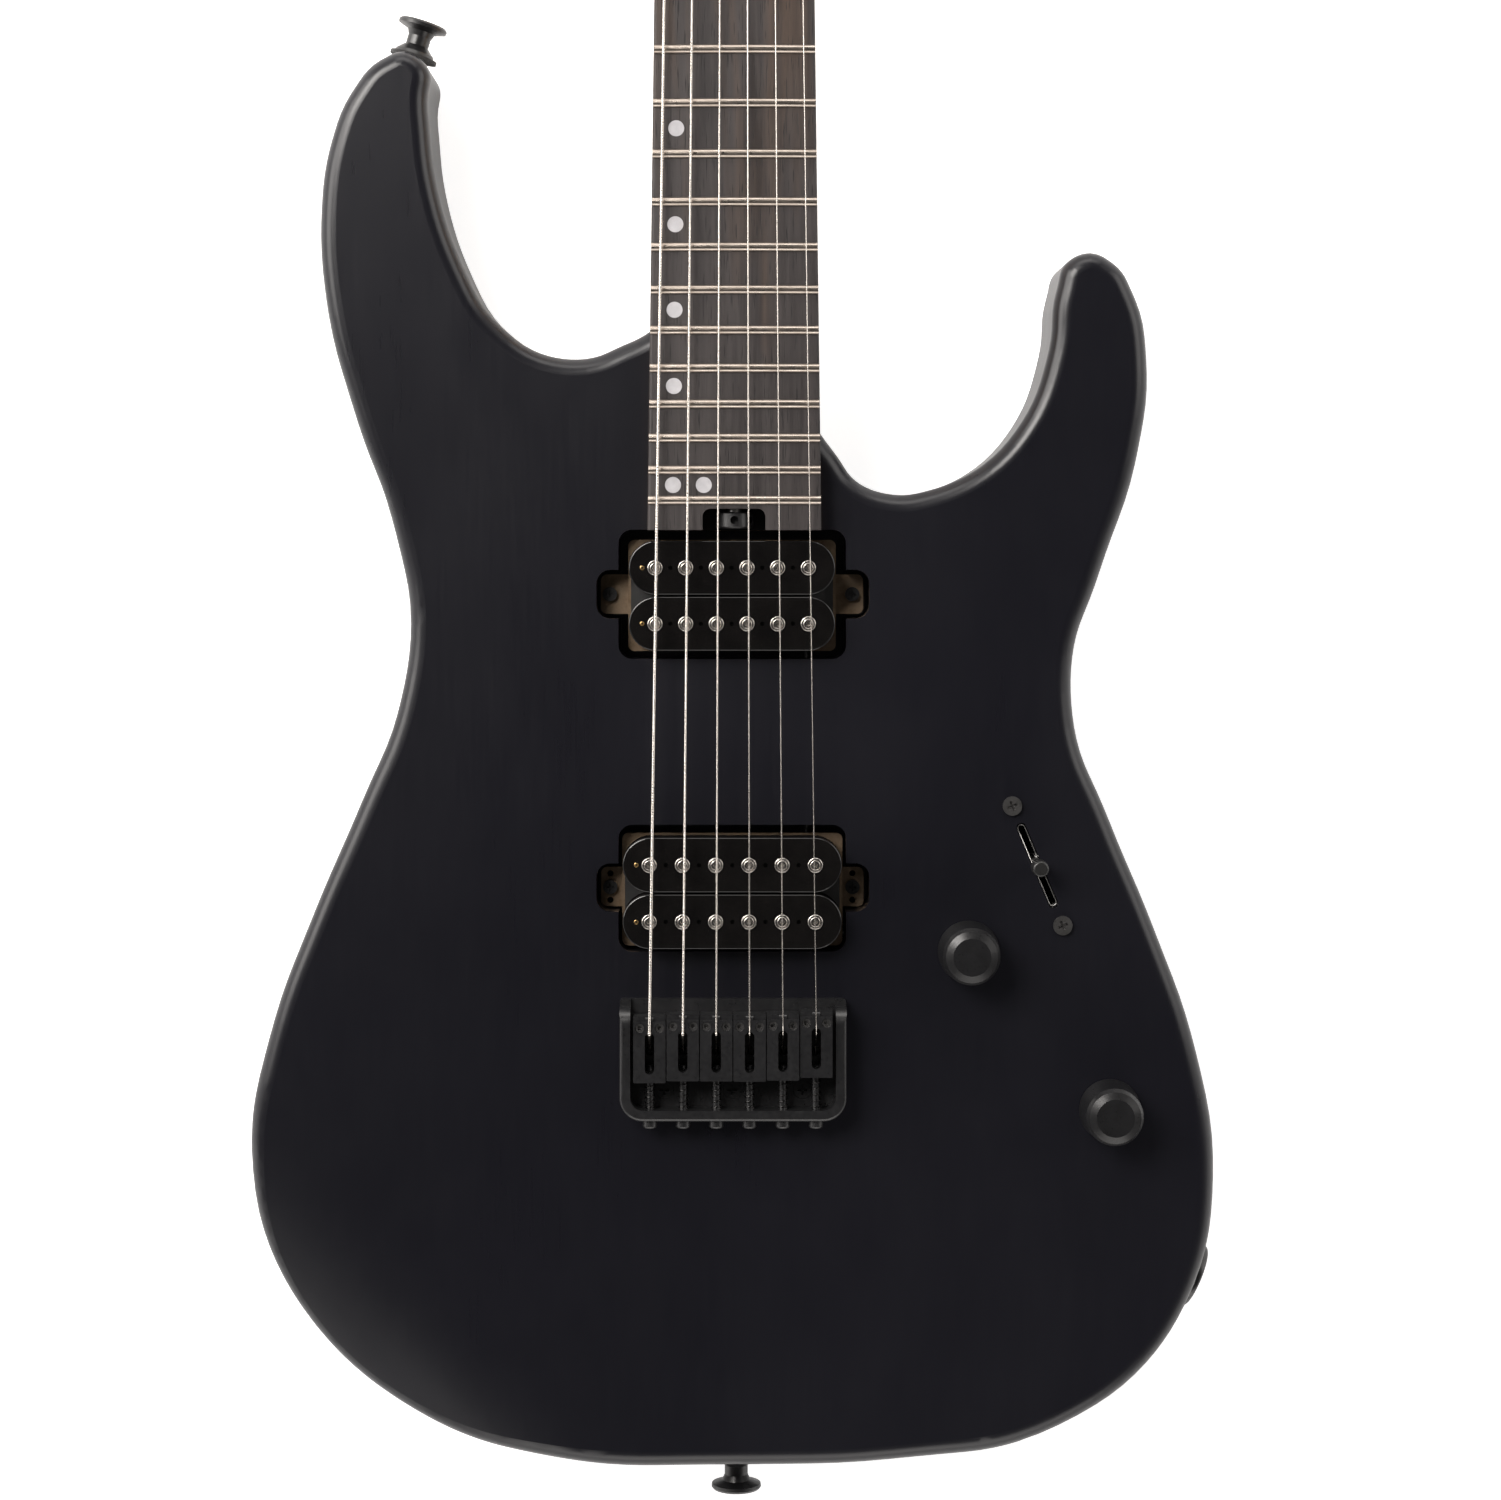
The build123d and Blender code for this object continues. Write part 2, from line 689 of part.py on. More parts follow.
def face_dot_spots():
    spots = []
    for number in SINGLE_DOT_FRETS + DOUBLE_DOT_FRETS:
        y = (fret_y(number) + fret_y(number - 1)) / 2
        x = -board_width(y) * DOT_INSET
        spots.append((x, y))
        if number in DOUBLE_DOT_FRETS:
            spots.append((x + DOUBLE_DOT_STEP, y))
    return spots


def dot_cylinder(x, y, gap):
    return post(DOT_RADIUS + gap, x, y, BOARD_TOP - 2.6, BOARD_TOP + 1)


def side_dot(number, gap):
    y = (fret_y(number) + fret_y(number - 1)) / 2
    edge = -board_width(y) / 2
    return rod((edge - 0.02, y, BOARD_BOTTOM + 2.2), (edge + 1.4, y, BOARD_BOTTOM + 2.2), 1.0 + gap)


def make_dots():
    top = crown_drum(0.0)
    faces = [dot_cylinder(x, y, 0) & top for x, y in face_dot_spots()]
    return group(faces + [side_dot(n, 0) for n in SIDE_DOT_FRETS])


def make_nut():
    half = NUT_WIDTH / 2
    y0 = SCALE_LENGTH + 0.02
    nut = box(-half, half, y0, y0 + NUT_LENGTH, BOARD_BOTTOM, FRET_TOP + 2.0)
    nut = nut & crown_drum(FRET_CROWN_HEIGHT + 1.1)
    tops = [e for e in nut.edges() if e.center().Z > FRET_TOP and e.length > 30]
    nut = fillet(tops, 0.9)
    grooves = []
    for i in range(STRING_COUNT):
        radius = STRING_RADII[i] + 0.06
        bottom = nut_crest(i) - 0.05
        x = nut_x(i)
        grooves.append(box(x - radius, x + radius, y0 - 1, y0 + 5, bottom + radius, 60))
        grooves.append(rod((x, y0 - 1, bottom + radius), (x, y0 + 5, bottom + radius), radius))
    return nut - grooves


def make_truss_rod():
    """Two-way rod: a round rod over a flat bar, joined by a block at each end."""
    z = WHEEL_CENTRE[2]
    long_rod = rod((0, WHEEL_CENTRE[1] - 2.0, z), (0, 628.0, z), ROD_RADIUS)
    lower = box(-2.9, 2.9, 160.2, 631.0, 40.6, z - ROD_RADIUS)
    anchor = box(-2.9, 2.9, 620.0, 631.0, 40.6, BOARD_BOTTOM - 0.02)
    cap = box(-2.9, 2.9, 160.2, 166.0, 40.6, BOARD_BOTTOM - 0.02)
    return long_rod + lower + anchor + cap


def make_truss_wheel():
    x, y, z = WHEEL_CENTRE
    start = (0, y - WHEEL_LENGTH / 2, z)
    end = (0, y + WHEEL_LENGTH / 2, z)
    wheel = rod(start, end, WHEEL_RADIUS)
    wheel = chamfer([e for e in wheel.edges() if e.geom_type == GeomType.CIRCLE], 0.5)
    holes = []
    for k in range(6):
        a = math.radians(30 + 60 * k)
        reach = WHEEL_RADIUS + 1
        tip = (reach * math.cos(a), y, z + reach * math.sin(a))
        foot = (3.4 * math.cos(a), y, z + 3.4 * math.sin(a))
        holes.append(rod(foot, tip, 1.3))
    return wheel - holes - rod((0, y - 9, z), (0, y + 9, z), ROD_RADIUS + RUNNING_GAP)


# ---------------------------------------------------------------- tuners
TUNER_BOTTOM = 20.6
TUNER_TOP = HEADSTOCK_BOTTOM - 0.05
GEAR_RADIUS = 4.2
WORM_RADIUS = 1.5
WORM_OFFSET = 5.9
WORM_Z = 25.6
BUTTON_REACH = 15.6
BUTTON_DEPTH = 11.0
POST_TOP = 58.2


def tuner_frame(index):
    """At a post's foot: local +X out to the button's side, local +Y along the row of posts."""
    x, y = post_place(index)
    turn = POST_LINE_ANGLE + 90.0
    return Pos(x, y, 0) * Rot(0, 0, turn)


TUNER_SCREW_LOCAL = (-10.6, 0.0)


def headstock_screw_places():
    places = [Pos(x, y, RETAINER_SCREW_Z) for x, y in RETAINER_SCREW_SPOTS]
    for i in range(STRING_COUNT):
        place = tuner_frame(i) * Pos(TUNER_SCREW_LOCAL[0], TUNER_SCREW_LOCAL[1], HEADSTOCK_BOTTOM - 1.9)
        places.append(place * Rot(180, 0, 0))
    return places


def small_screw_places():
    return COVER_SCREW_PLACES + headstock_screw_places()


def make_tuner_housing(index):
    case = box(-8.2, 10.2, -9.4, 7.2, TUNER_BOTTOM, TUNER_TOP)
    case = fillet(case.edges().filter_by(Axis.Z), 2.5)
    low = [e for e in case.edges() if e.center().Z < TUNER_BOTTOM + 0.1]
    case = fillet(low, 1.2)
    lug = post(3.6, -10.6, 0, HEADSTOCK_BOTTOM - 1.9, TUNER_TOP) + box(
        -10.6, -7.0, -3.6, 3.6, HEADSTOCK_BOTTOM - 1.9, TUNER_TOP
    )
    hollow = box(-6.6, 8.6, -8.0, 5.8, TUNER_BOTTOM + 1.6, TUNER_TOP - 1.4)
    neck_hole = post(POST_RADIUS + RUNNING_GAP, 0, 0, TUNER_TOP - 4, TUNER_TOP + 1)
    shaft_hole = rod((5, -WORM_OFFSET, WORM_Z), (14, -WORM_OFFSET, WORM_Z), 1.9 + RUNNING_GAP)
    sleeve = rod((9.0, -WORM_OFFSET, WORM_Z), (12.2, -WORM_OFFSET, WORM_Z), 3.1)
    housing = (case - hollow) + lug + sleeve - neck_hole - shaft_hole
    screw_void = Pos(TUNER_SCREW_LOCAL[0], 0, HEADSTOCK_BOTTOM - 1.9) * Rot(180, 0, 0) * SMALL_SCREW.void()
    return tuner_frame(index) * (housing - screw_void)


def make_tuner_bushing(index):
    x, y = post_place(index)
    barrel = post(BUSHING_BARREL_RADIUS, 0, 0, HEADSTOCK_BOTTOM + 5, HEADSTOCK_TOP + 0.5)
    washer = post(7.2, 0, 0, HEADSTOCK_TOP + 0.02, HEADSTOCK_TOP + 0.8)
    hexagon = Pos(0, 0, HEADSTOCK_TOP + 0.8) * extrude(RegularPolygon(6.0, 6), 2.0)
    crown = post(5.0, 0, 0, HEADSTOCK_TOP + 2.8, HEADSTOCK_TOP + 3.3)
    hole = post(POST_RADIUS + RUNNING_GAP, 0, 0, 20, 80)
    return Pos(x, y, 0) * (barrel + washer + hexagon + crown - hole)


def make_tuner_post(index):
    r = POST_RADIUS
    shaft = spin(
        [
            (0, TUNER_BOTTOM + 2.2),
            (r, TUNER_BOTTOM + 2.2),
            (r, POST_STRING_Z - 1.6),
            (r - 0.5, POST_STRING_Z - 0.6),
            (r - 0.5, POST_STRING_Z + 2.2),
            (r, POST_STRING_Z + 3.2),
            (r, POST_TOP - 0.6),
            (r - 0.6, POST_TOP),
            (0, POST_TOP),
        ]
    )
    gear = post(GEAR_RADIUS, 0, 0, WORM_Z - 1.6, WORM_Z + 1.6)
    slot = box(-0.7, 0.7, -5, 5, POST_TOP - 4.5, POST_TOP + 1)
    x, y = post_place(index)
    return Pos(x, y, 0) * (shaft + gear - slot)


def make_tuner_button(index):
    shaft = rod((-5.6, 0, 0), (BUTTON_REACH + 2, 0, 0), 1.9)
    waist = rod((-5.6, 0, 0), (6.0, 0, 0), 3.5) - rod((-5.7, 0, 0), (6.1, 0, 0), WORM_RADIUS)
    collar = rod((12.6, 0, 0), (BUTTON_REACH, 0, 0), 3.0)
    knob = Box(BUTTON_DEPTH, 15.6, 6.8)
    knob = fillet(knob.edges().filter_by(Axis.Z), 4.2)
    knob = fillet([e for e in knob.edges() if abs(e.center().Z) > 3.3], 2.0)
    knob = Pos(BUTTON_REACH + BUTTON_DEPTH / 2, 0, 0) * knob
    button = (shaft - waist) + collar + knob
    return tuner_frame(index) * Pos(0, -WORM_OFFSET, WORM_Z) * button


def make_retainer():
    """A round bar across the strings behind the nut, between two screwed columns."""
    y = RETAINER_Y
    z = RETAINER_STRING_Z + 0.9 + 2.2
    bar = rod((-20.0, y, z), (20.0, y, z), 2.2)
    columns = [post(3.5, x, spot_y, HEADSTOCK_TOP + 0.02, z + 1.8) for x, spot_y in RETAINER_SCREW_SPOTS]
    rims = [c.edges().filter_by(GeomType.CIRCLE).sort_by(Axis.Z)[-1] for c in columns]
    columns = [chamfer(rim, 0.5) for rim in rims]
    voids = [p * SMALL_SCREW.void(8.0) for p in headstock_screw_places()[:2]]
    return bar + columns - voids


# ---------------------------------------------------------------- bridge
SADDLE_WIDTH = 10.3
SADDLE_BOTTOM = 48.6
SADDLE_FRONT_Y = [-2.3, -1.6, -1.6, -1.7, -1.4, -0.6]
SADDLE_LENGTH = 21.0
SADDLE_SLOT_WIDTH = 3.0
SADDLE_SLOT_START = 5.2
SADDLE_SLOT_END = 18.3
HEIGHT_SCREW_INSET = 3.6
HEIGHT_SCREW_RADIUS = 1.45
HEIGHT_SCREW_STEP = 3.2
INTONATION_Z = 51.2
INTONATION_RADIUS = 1.2
SPRING_RADIUS = 1.65


def make_bridge_plate():
    corners = [
        (BRIDGE_X0, BRIDGE_FRONT_Y),
        (BRIDGE_X0, BRIDGE_REAR_Y),
        (BRIDGE_X1, BRIDGE_REAR_Y),
        (BRIDGE_X1, BRIDGE_FRONT_Y),
    ]
    outline = make_face(Polyline(*corners, close=True))
    rear = outline.vertices().filter_by(lambda v: v.Y < 0)
    outline = fillet(rear, 7.5)
    front = [v for v in outline.vertices() if v.Y > 0]
    outline = fillet(front, 1.2)
    base = BODY_THICKNESS + 0.02
    tray = Pos(0, 0, base) * extrude(outline, BRIDGE_WALL_TOP - base)
    top_rim = [e for e in tray.edges() if e.center().Z > BRIDGE_WALL_TOP - 0.1 and e.center().Y < 1]
    tray = fillet(top_rim, 1.2)
    inner = [
        (BRIDGE_X0 + BRIDGE_WALL, 20.0),
        (BRIDGE_X0 + BRIDGE_WALL, BRIDGE_REAR_Y + BRIDGE_WALL),
        (BRIDGE_X1 - BRIDGE_WALL, BRIDGE_REAR_Y + BRIDGE_WALL),
        (BRIDGE_X1 - BRIDGE_WALL, 20.0),
    ]
    tools = [rounded_prism(inner, BRIDGE_FLOOR, BRIDGE_WALL_TOP + 5, 4.2)]
    nose = box(-60, 60, -5.0, 10.0, BRIDGE_FLOOR + 1.6, BRIDGE_WALL_TOP + 5)
    nose -= rod((-60, -5.0, BRIDGE_WALL_TOP - 5.0), (60, -5.0, BRIDGE_WALL_TOP - 5.0), 5.0)
    tools.append(nose)
    tools += [p * BRIDGE_SCREW.void() for p in BRIDGE_SCREW_PLACES]
    for i in range(STRING_COUNT):
        x = saddle_x(i)
        tools.append(post(STRING_HOLE_RADIUS, x, THROUGH_Y, base - 1, BRIDGE_FLOOR + 1))
        hole = rod((x, BRIDGE_REAR_Y - 2, INTONATION_Z), (x, -30, INTONATION_Z), INTONATION_RADIUS + 0.1)
        tools.append(hole)
    return tray - tools


def make_saddle(index):
    """One saddle block with its two height screws."""
    x = saddle_x(index)
    front = SADDLE_FRONT_Y[index]
    rear = front - SADDLE_LENGTH
    top = saddle_crest(index)
    half = SADDLE_WIDTH / 2
    block = box(x - half, x + half, rear, front, SADDLE_BOTTOM, top)
    block = fillet([e for e in block.edges().filter_by(Axis.X) if e.center().Y > front - 0.1], 0.9)
    block = chamfer([e for e in block.edges().filter_by(Axis.Z) if e.center().Y < rear + 0.1], 0.3)
    slot_y = front - (SADDLE_SLOT_START + SADDLE_SLOT_END) / 2
    slot_length = SADDLE_SLOT_END - SADDLE_SLOT_START
    slot = stadium(slot_length, SADDLE_SLOT_WIDTH, 30)
    block -= Pos(x, slot_y, SADDLE_BOTTOM - 5) * Rot(0, 0, 90) * slot
    block -= box(x - half - 1, x + half + 1, front - 1.6, front + 1, top - 0.5, top + 1) - box(
        x - 1.2, x + 1.2, front - 5, front + 2, top - 5, top + 2
    )
    block -= rod((x, rear - 1, INTONATION_Z), (x, rear + 6, INTONATION_Z), INTONATION_RADIUS + RUNNING_GAP)
    screws = []
    for side in (-1, 1):
        spot_x = x + side * HEIGHT_SCREW_STEP
        spot_y = front - HEIGHT_SCREW_INSET
        block -= post(HEIGHT_SCREW_RADIUS + 0.02, spot_x, spot_y, SADDLE_BOTTOM - 1, top + 1)
        screw = post(HEIGHT_SCREW_RADIUS, spot_x, spot_y, BRIDGE_FLOOR + 0.1, top - 0.7)
        socket = Pos(spot_x, spot_y, top - 2.2) * extrude(RegularPolygon(0.75, 6), 3)
        screws.append(screw - socket)
    return group([block] + screws)


def make_intonation_screw(index):
    x = saddle_x(index)
    z = INTONATION_Z
    rear = BRIDGE_REAR_Y
    shank = rod((x, rear - 1, z), (x, -18.4, z), INTONATION_RADIUS)
    head = rod((x, rear - 2.6, z), (x, rear - 0.1, z), 2.3)
    rim = [e for e in head.edges() if e.geom_type == GeomType.CIRCLE and e.center().Y < rear - 2]
    head = fillet(rim, 0.9)
    arm = Box(2.6, 2.4, 0.55) + Box(0.55, 2.4, 2.6)
    return shank + head - Pos(x, rear - 2.6, z) * arm


def make_intonation_spring(index):
    x = saddle_x(index)
    z = INTONATION_Z
    start = (x, BRIDGE_REAR_Y + BRIDGE_WALL + 0.1, z)
    end = (x, SADDLE_FRONT_Y[index] - SADDLE_LENGTH - 0.1, z)
    return rod(start, end, SPRING_RADIUS) - rod(start, end, INTONATION_RADIUS + 0.1)


def make_string_ferrule(index):
    shell = post(STRING_FERRULE_RADIUS - 0.02, 0, 0, 0.3, STRING_FERRULE_DEPTH - 0.02)
    shell -= post(BALL_RADIUS + 0.2, 0, 0, 0, 6.2)
    shell -= post(1.4, 0, 0, 0, 20)
    return Pos(saddle_x(index), THROUGH_Y, 0) * shell


def make_neck_ferrule(x, y):
    cup = post(NECK_FERRULE_RADIUS - 0.02, x, y, 0.3, NECK_FERRULE_DEPTH - 0.02)
    voids = [p * NECK_SCREW.void() for p in NECK_SCREW_PLACES]
    return cup - voids


# ---------------------------------------------------------------- pickups
POLE_RADIUS = 2.4
POLE_HEAD_HEIGHT = 3.0
POLE_GROOVE = (1.62, 2.08)
POLE_GROOVE_DEPTH = 0.9
POLE_SOCKET_RADIUS = 0.85
BOBBIN_HEIGHT = 11.0
BOBBIN_LIP = 1.3
COIL_INSET = 1.2
CORE_HALF_WIDTH = 3.4
POLE_LENGTH = 17.2
POLE_STANDOFF = 0.5
BASEPLATE_THICKNESS = 1.2
LEG_WIDTH = 12.8


class Pickup:
    def __init__(self, centre, top, size, pole_step, row_step, centre_shift, wide_foot):
        self.centre = centre
        self.top = top
        self.size = size
        self.pole_step = pole_step
        self.row_step = row_step
        self.centre_shift = centre_shift
        self.wide_foot = wide_foot

    def rows(self):
        return [self.centre[1] + side * self.row_step / 2 for side in (-1, 1)]

    def pole_spots(self):
        x0 = self.centre[0] + self.centre_shift
        return [(x0 + self.pole_step * (k - 2.5), y) for y in self.rows() for k in range(6)]

    def screw_spots(self):
        x0, y0 = self.centre
        return [(x0 - 0.3 + side * PICKUP_SCREW_HALF_SPACING, y0 + 0.4) for side in (-1, 1)]


NECK_PICKUP = Pickup(NECK_PICKUP_CENTRE, NECK_PICKUP_TOP, NECK_PICKUP_SIZE, 9.8, 17.9, -0.1, False)
BRIDGE_PICKUP = Pickup(BRIDGE_PICKUP_CENTRE, BRIDGE_PICKUP_TOP, BRIDGE_PICKUP_SIZE, 10.6, 18.1, 0.0, True)


def make_bobbins(pickup):
    length, width = pickup.size
    top = pickup.top
    core_length = length - 10.0
    bobbins = []
    for y in pickup.rows():
        plate = Pos(pickup.centre[0], y, top - BOBBIN_LIP) * stadium(length, width, BOBBIN_LIP)
        crown = [e for e in plate.edges() if e.center().Z > top - 0.1]
        plate = fillet(crown, 0.5)
        low = Pos(pickup.centre[0], y, top - BOBBIN_HEIGHT) * stadium(length, width, BOBBIN_LIP)
        core_place = Pos(pickup.centre[0], y, top - BOBBIN_HEIGHT + 0.5)
        core = core_place * stadium(core_length, 2 * CORE_HALF_WIDTH, BOBBIN_HEIGHT - 1.0)
        bobbin = plate + core + low
        for x, pole_y in pickup.pole_spots():
            if abs(pole_y - y) < 1:
                bobbin -= post(POLE_RADIUS + 0.02, x, y, top - 20, top + 1)
        for k in range(5):
            x = pickup.centre[0] + pickup.centre_shift + pickup.pole_step * (k - 2)
            bobbin -= post(0.7, x, y, top - BOBBIN_LIP - 0.5, top + 1)
        bobbins.append(bobbin)
    return group(bobbins)


def make_coils(pickup):
    """The two windings, and the bar magnet between the rows of pole screws."""
    length, width = pickup.size
    low = pickup.top - BOBBIN_HEIGHT + BOBBIN_LIP + 0.02
    height = BOBBIN_HEIGHT - 2 * BOBBIN_LIP - 0.04
    pieces = []
    for y in pickup.rows():
        place = Pos(pickup.centre[0], y, low)
        coil = place * stadium(length - 2 * COIL_INSET, width - 2 * COIL_INSET, height)
        coil -= place * stadium(length - 9.96, 2 * CORE_HALF_WIDTH + 0.04, height)
        pieces.append(coil)
    x, y = pickup.centre
    z1 = pickup.top - BOBBIN_HEIGHT - 0.05
    half = pickup.row_step / 2 - POLE_RADIUS - 0.1
    pieces.append(box(x - 30, x + 30, y - half, y + half, z1 - 2.9, z1))
    return group(pieces)


def make_pickup_screws(pickup):
    """The adjustable pole screws and the two height screws."""
    top = pickup.top + POLE_STANDOFF
    screws = []
    for x, y in pickup.pole_spots():
        head = post(POLE_RADIUS, x, y, top - POLE_HEAD_HEIGHT, top)
        inner, outer = POLE_GROOVE
        head -= post(outer, x, y, top - POLE_GROOVE_DEPTH, top + 1)
        head += post(inner, x, y, top - POLE_HEAD_HEIGHT, top)
        rims = [e for e in head.edges().filter_by(GeomType.CIRCLE) if e.center().Z > top - 0.1]
        head = fillet([e for e in rims if abs(e.radius - outer) > 0.1], 0.3)
        shank = post(POLE_RADIUS - 0.6, x, y, top - POLE_LENGTH, top - POLE_HEAD_HEIGHT)
        socket = Pos(x, y, top - 1.8) * extrude(RegularPolygon(POLE_SOCKET_RADIUS, 6), 4)
        screws.append(head + shank - socket)
    screws += [p * PICKUP_SCREW.solid() for p in pickup_screw_places(pickup.centre)]
    return group(screws)


def make_baseplate(pickup):
    """Bottom plate with a leg at each end, bent down and out to a foot for the height screw."""
    x, y = pickup.centre
    length, width = pickup.size
    half_length = length / 2 + 0.6
    half_width = pickup.row_step / 2 + width / 2 + 0.4
    z1 = pickup.top - BOBBIN_HEIGHT - 3.0
    z0 = z1 - BASEPLATE_THICKNESS
    corners = [
        (x - half_length, y - half_width),
        (x + half_length, y - half_width),
        (x + half_length, y + half_width),
        (x - half_length, y + half_width),
    ]
    plate = rounded_prism(corners, z0, z1, 2.0)
    for (sx, sy), side in zip(pickup.screw_spots(), (-1, 1)):
        edge = x + side * half_length
        far = x + side * 42.6
        x0, x1 = sorted((edge - side * 1.2, edge))
        plate += box(x0, x1, sy - LEG_WIDTH / 2, sy + LEG_WIDTH / 2, LEG_FOOT_Z, z1)
        x0, x1 = sorted((edge - side * 1.2, far))
        foot = box(x0, x1, sy - LEG_WIDTH / 2, sy + LEG_WIDTH / 2, LEG_FOOT_Z, LEG_FOOT_Z + 1.2)
        outer = [e for e in foot.edges().filter_by(Axis.Z) if abs(e.center().X - far) < 0.1]
        foot = fillet(outer, 2.0)
        plate += foot
        plate -= post(PICKUP_SCREW.shank_radius + RUNNING_GAP, sx, sy, LEG_FOOT_Z - 1, LEG_FOOT_Z + 2)
        if pickup.wide_foot:
            for hole_side in (-1, 1):
                plate -= post(1.0, sx, sy + hole_side * 4.3, LEG_FOOT_Z - 1, LEG_FOOT_Z + 2)
    for px, py in pickup.pole_spots():
        plate -= post(POLE_RADIUS - 0.5, px, py, z0 - 1, z1 + 1)
    return plate


def make_pickup_springs():
    springs = []
    for pickup in (NECK_PICKUP, BRIDGE_PICKUP):
        for x, y in pickup.screw_spots():
            outer = post(2.6, x, y, CAVITY_FLOOR + 0.05, LEG_FOOT_Z - 0.05)
            springs.append(outer - post(2.0, x, y, CAVITY_FLOOR, LEG_FOOT_Z))
    return group(springs)


# ---------------------------------------------------------------- controls
KNOB_BOTTOM = BODY_THICKNESS + 0.7
KNOB_TOP = 62.0
SHAFT_RADIUS = 3.0
BUSHING_TOP = BODY_THICKNESS + 2.7
POT_RADIUS = 8.4
POT_BOTTOM = 28.0


def make_pot(x, y):
    can = post(POT_RADIUS, x, y, POT_BOTTOM, CONTROL_CEILING - 0.3)
    bushing = post(POT_BUSHING_RADIUS, x, y, CONTROL_CEILING - 1, BUSHING_TOP)
    lugs = [box(x - 5 + 4 * k - 0.6, x - 3.8 + 4 * k, y + 7, y + 12.5, 34.0, 34.6) for k in range(3)]
    bore = post(SHAFT_RADIUS + RUNNING_GAP, x, y, POT_BOTTOM + 1.2, BUSHING_TOP + 1)
    wiper_room = post(6.8, x, y, POT_BOTTOM + 1.2, POT_BOTTOM + 4.4)
    return can + bushing + lugs - bore - wiper_room


def make_knob(x, y):
    """A knob with the potentiometer's shaft and wiper disc under it."""
    profile = [
        (0, KNOB_TOP - 5.0),
        (0, KNOB_TOP),
        (6.0, KNOB_TOP - 0.35),
        (8.2, KNOB_TOP - 1.2),
        (9.1, KNOB_TOP - 2.9),
        (9.9, KNOB_BOTTOM + 1.0),
        (9.9, KNOB_BOTTOM),
        (8.2, KNOB_BOTTOM),
        (8.2, KNOB_BOTTOM + 3.4),
        (SHAFT_RADIUS + 0.02, KNOB_BOTTOM + 3.4),
        (SHAFT_RADIUS + 0.02, KNOB_TOP - 5.0),
    ]
    knob = Pos(x, y, 0) * spin(profile)
    shaft = post(SHAFT_RADIUS, x, y, POT_BOTTOM + 1.7, KNOB_TOP - 5.1)
    shaft += post(6.3, x, y, POT_BOTTOM + 1.7, POT_BOTTOM + 3.7)
    return group([knob, shaft])


def make_panel_nuts():
    nuts = []
    for x, y in (VOLUME_SPOT, TONE_SPOT):
        washer = post(7.6, x, y, BODY_THICKNESS + 0.02, BODY_THICKNESS + 0.5)
        nut = Pos(x, y, BODY_THICKNESS + 0.5) * extrude(RegularPolygon(7.0, 6), 1.8)
        nuts.append(washer + nut - post(POT_BUSHING_RADIUS + 0.02, x, y, 40, 50))
    return group(nuts)


LEVER_HALF_WIDTH = 2.4
LEVER_HALF_THICKNESS = 0.7
LEVER_TIP_RADIUS = 2.6
LEVER_TOP = 57.0


def make_selector_frame():
    """Bracket under the top, the contact wafer, and the lever's pivot pin."""
    top = CONTROL_CEILING - 0.05
    bracket = box(-25, 25, -5.4, 5.4, top - 1.5, top)
    bracket -= box(-14.0, 14.0, -1.6, 1.6, top - 3, top + 1)
    cheek = box(-19, 19, 3.4, 4.8, 10.0, top)
    wafer = box(-17, 17, 4.8, 6.2, 6.0, 32.0)
    pin = rod((0, -3.0, SELECTOR_PIVOT_Z), (0, 4.0, SELECTOR_PIVOT_Z), 1.2)
    cheek2 = box(-5, 5, -4.4, -3.0, SELECTOR_PIVOT_Z - 4, top)
    frame = bracket + cheek + wafer + pin + cheek2
    for side in (-1, 1):
        frame -= Pos(side * SELECTOR_SCREW_SPACING / 2, 0, BODY_THICKNESS + 1.2) * SELECTOR_SCREW.void()
    return SELECTOR_PLACE * frame


def tip_socket():
    """The part of the lever that the tip is pushed over."""
    width = LEVER_TIP_RADIUS - 0.7
    return box(-width, width, -LEVER_HALF_THICKNESS, LEVER_HALF_THICKNESS, LEVER_TOP - 9, LEVER_TOP - 4)


def make_selector_lever():
    t = LEVER_HALF_THICKNESS
    w = LEVER_HALF_WIDTH
    blade = box(-w, w, -t, t, SELECTOR_PIVOT_Z, LEVER_TOP - 9)
    hub = rod((0, -2.2, SELECTOR_PIVOT_Z), (0, 2.6, SELECTOR_PIVOT_Z), 3.4)
    pivot = rod((0, -6, SELECTOR_PIVOT_Z), (0, 6, SELECTOR_PIVOT_Z), 1.2 + RUNNING_GAP)
    return SELECTOR_PLACE * (blade + hub + tip_socket() - pivot)


def make_selector_tip():
    tip = post(LEVER_TIP_RADIUS, 0, 0, LEVER_TOP - 8.9, LEVER_TOP)
    tip = fillet(tip.edges().filter_by(GeomType.CIRCLE), 0.9)
    return SELECTOR_PLACE * (tip - tip_socket())


def make_control_cover():
    cover = extrude(offset(control_face(), COVER_LEDGE - 0.3), COVER_THICKNESS)
    cover = Pos(0, 0, 0.1) * cover
    return cover - [p * SMALL_SCREW.void() for p in COVER_SCREW_PLACES]


def make_output_jack():
    """Barrel jack: flange outside, barrel through the wall, contact springs inside."""
    barrel = Pos(0, 0, (JACK_INNER_END + 1.0) / 2) * Cylinder(JACK_BARREL_RADIUS, 1.0 - JACK_INNER_END)
    flange = Pos(0, 0, 2.1) * Cylinder(10.5, 2.6)
    flange = fillet([e for e in flange.edges() if e.center().Z > 3], 1.1)
    bore = Pos(0, 0, -10) * Cylinder(JACK_BORE_RADIUS, 42)
    lugs = [Pos(side * 3, 0, JACK_INNER_END - 2.5) * Box(1.2, 3.0, 5.4) for side in (-1, 1)]
    return JACK_FRAME * (barrel + flange - bore + lugs)


